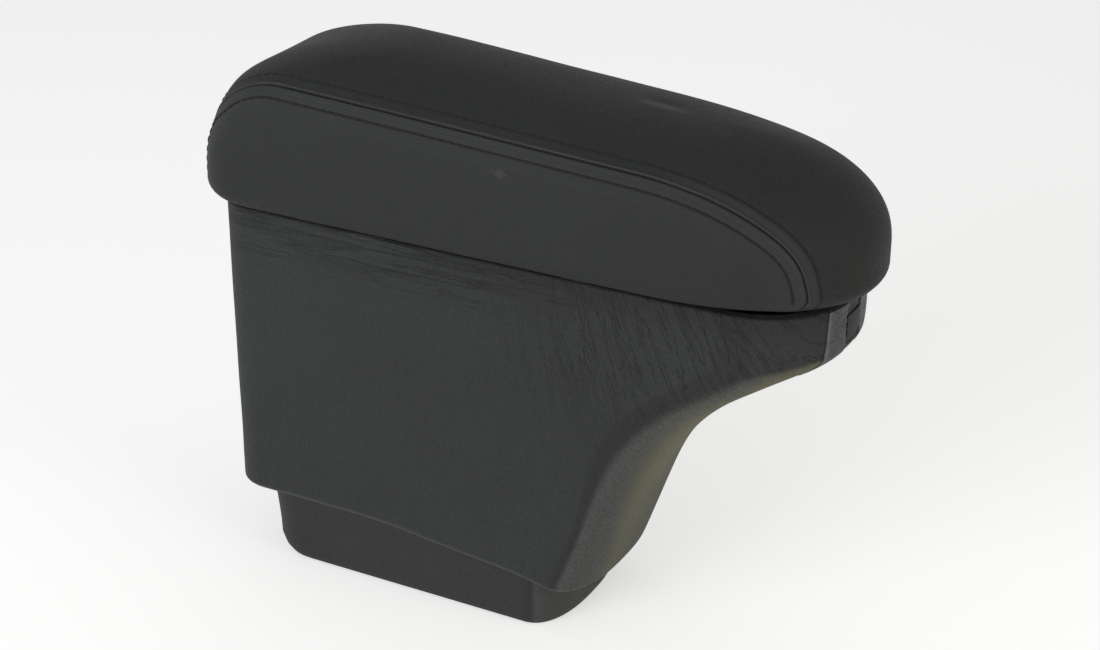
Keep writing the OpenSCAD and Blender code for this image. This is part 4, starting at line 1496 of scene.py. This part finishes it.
@dataclass
class SoftSheets:
    """The flat soft parts that are cut from sheet: the floor mat and the lid's lining."""

    palette: Palette
    nodes: dict[str, bpy.types.Object]
    edge: float = 0.35
    cell: float = 6.0

    def cut_from(self, node: str, name: str, body: str, slot: str, swell: float) -> None:
        """Makes a piece with rounded edges and a soft face in the outline of a node.

        Args:
            node: The CAD node.
            name: The piece's name.
            body: The body that it moves with.
            slot: The record's material slot, and the finish.
            swell: How far the face rises and falls, in millimetres.
        """
        bm = bmesh.new()
        bm.from_mesh(self.nodes[node].data)
        bmesh.ops.remove_doubles(bm, verts=bm.verts[:], dist=1e-6)
        bmesh.ops.dissolve_limit(bm, angle_limit=math.radians(1), verts=bm.verts[:], edges=bm.edges[:])
        bm.normal_update()
        sharp = [e for e in bm.edges if e.is_manifold and e.calc_face_angle(0) > math.radians(45)]
        bmesh.ops.bevel(
            bm, geom=sharp, offset=self.edge * MM, segments=2, profile=0.5, affect="EDGES", clamp_overlap=True
        )
        bmesh.ops.triangulate(bm, faces=bm.faces[:])
        low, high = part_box(node)
        for letter in (0, 1):
            way = Vector((letter == 0, letter == 1, 0))
            for at in np.arange(low[letter] + self.cell * MM, high[letter], self.cell * MM):
                geom = bm.verts[:] + bm.edges[:] + bm.faces[:]
                bmesh.ops.bisect_plane(bm, geom=geom, plane_co=way * float(at), plane_no=way, dist=1e-7)
        bmesh.ops.triangulate(bm, faces=bm.faces[:])
        co = np.array([v.co for v in bm.verts]) / MM
        for v, p in zip(bm.verts, (swell * waves(co * [1, 1, 0], 51, 30)).tolist()):
            v.co.z += p * MM
        settle(finished(bm, name, self.palette[slot], 35), body, [node])

    def build(self) -> None:
        """Builds the mat and the lining."""
        self.cut_from("floor_mat", "compartment_mat", "box", "rubber", 0.08)
        self.cut_from("lid_lining", "lid_underside", "lid", "felt", 0.05)


@dataclass
class HardParts:
    """The CAD nodes that keep their own meshes, and the finish of each."""

    palette: Palette
    nodes: dict[str, bpy.types.Object]
    finishes: dict[str, str] = field(
        default_factory=lambda: {
            "box_shell": "moulded_plastic",
            "foot_tub": "moulded_plastic",
            "latch_body": "latch_plastic",
            "latch_button": "latch_plastic",
            "lid_catch": "latch_plastic",
            "rim_bumpers": "rubber",
            "lid_board": "fibreboard",
            "hinge_box_leaf": "zinc_steel",
            "hinge_lid_leaf": "zinc_steel",
            "hinge_pin": "zinc_steel",
            "latch_spring": "zinc_steel",
            "foot_screws": "zinc_steel",
            "hinge_box_screws": "zinc_steel",
            "hinge_lid_screws": "zinc_steel",
            "latch_screws": "zinc_steel",
            "catch_screws": "zinc_steel",
        }
    )

    def dress(self) -> None:
        """Gives each node its finish."""
        for node, finish in self.finishes.items():
            obj = self.nodes[node]
            if not obj.material_slots:
                obj.data.materials.append(self.palette[finish])
            for slot in obj.material_slots:
                slot.material = self.palette[finish]
            log.info("%s: %s", node, finish)


@dataclass
class Studio:
    """The pale floor, the soft lamps, the white surroundings and the camera."""

    eye: tuple[float, float, float] = (0.5097, -0.8424, 0.5966)
    aim: tuple[float, float, float] = (0.056, 0.0, 0.1386)
    lens: float = 75.2

    def camera(self) -> None:
        """Sets the camera where the photograph was taken from."""
        data = bpy.data.cameras.new("camera")
        data.lens, data.sensor_width, data.sensor_fit = self.lens, 36.0, "HORIZONTAL"
        data.clip_start, data.clip_end = 0.05, 30.0
        camera = in_scene("camera", data)
        camera.location = self.eye
        camera.rotation_mode = "QUATERNION"
        camera.rotation_quaternion = (Vector(self.aim) - Vector(self.eye)).to_track_quat("-Z", "Y")
        bpy.context.scene.camera = camera

    @staticmethod
    def lamp(
        name: str, place: Sequence[float], size: float, power: float, colour: Sequence[float] = (1, 1, 1)
    ) -> None:
        """Adds a soft square lamp that points at the armrest."""
        data = bpy.data.lights.new(name, "AREA")
        data.shape, data.size, data.energy, data.color = "SQUARE", size, power, colour
        lamp = in_scene(name, data)
        lamp.location = place
        lamp.rotation_mode = "QUATERNION"
        lamp.rotation_quaternion = (Vector((0.03, 0, 0.13)) - Vector(place)).to_track_quat("-Z", "Y")

    @staticmethod
    def white_for_eye(g: Graph) -> Socket:
        """1 for the rays that see the surroundings directly, in a reflection or through glass."""
        path = g.add("ShaderNodeLightPath")
        seen = g.most(path.outputs["Is Camera Ray"], path.outputs["Is Glossy Ray"])
        return g.most(seen, path.outputs["Is Transmission Ray"])

    def world(self) -> None:
        """White surroundings to the eye and in gloss, a plain soft level of light otherwise."""
        world = bpy.data.worlds.new("studio")
        bpy.context.scene.world = world
        g = emptied(world)
        strength = g.plus(g.times(self.white_for_eye(g), 0.68), 0.32)
        back = g.add("ShaderNodeBackground", {"Color": (1, 1, 1, 1), "Strength": strength})
        g.add("ShaderNodeOutputWorld", {"Surface": back.outputs[0]})

    def floor(self) -> None:
        """A plain pale floor that keeps the armrest's shadow."""
        mesh = bpy.data.meshes.new("floor")
        r = 6.0
        mesh.from_pydata([(-r, -r, -0.0003), (r, -r, -0.0003), (r, r, -0.0003), (-r, r, -0.0003)], [], [(0, 1, 2, 3)])
        material = bpy.data.materials.new("floor")
        g = emptied(material)
        matt = g.add("ShaderNodeBsdfDiffuse", {"Color": (0.86, 0.86, 0.86, 1)})
        glow = g.add("ShaderNodeEmission", {"Color": (1, 1, 1, 1), "Strength": g.times(self.white_for_eye(g), 0.52)})
        both = g.add("ShaderNodeAddShader", {0: matt.outputs[0], 1: glow.outputs[0]})
        g.add("ShaderNodeOutputMaterial", {"Surface": both.outputs[0]})
        mesh.materials.append(material)
        in_scene("floor", mesh)

    def build(self) -> None:
        """Builds the whole studio."""
        bpy.context.scene.view_settings.view_transform = "Standard"
        self.camera()
        self.world()
        self.floor()
        self.lamp("key", (-0.5, -1.6, 0.45), 1.1, 19)
        self.lamp("top", (0.1, 0.25, 1.5), 1.2, 0.5)
        self.lamp("front", (1.3, -0.2, 0.35), 0.8, 5, (1.0, 0.96, 0.82))


def main() -> None:
    """Builds the armrest over its frame, in order."""
    logging.basicConfig(level=logging.INFO, format="%(message)s")
    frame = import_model()
    palette = Palette()
    studio = Studio()
    studio.build()
    HardParts(palette, frame["nodes"]).dress()
    box = WrappedBox(palette)
    box.build()
    WrappedFoot(palette, box).build()
    SoftSheets(palette, frame["nodes"]).build()
    PaddedLid(palette).build()


if __name__ == "__main__":
    main()
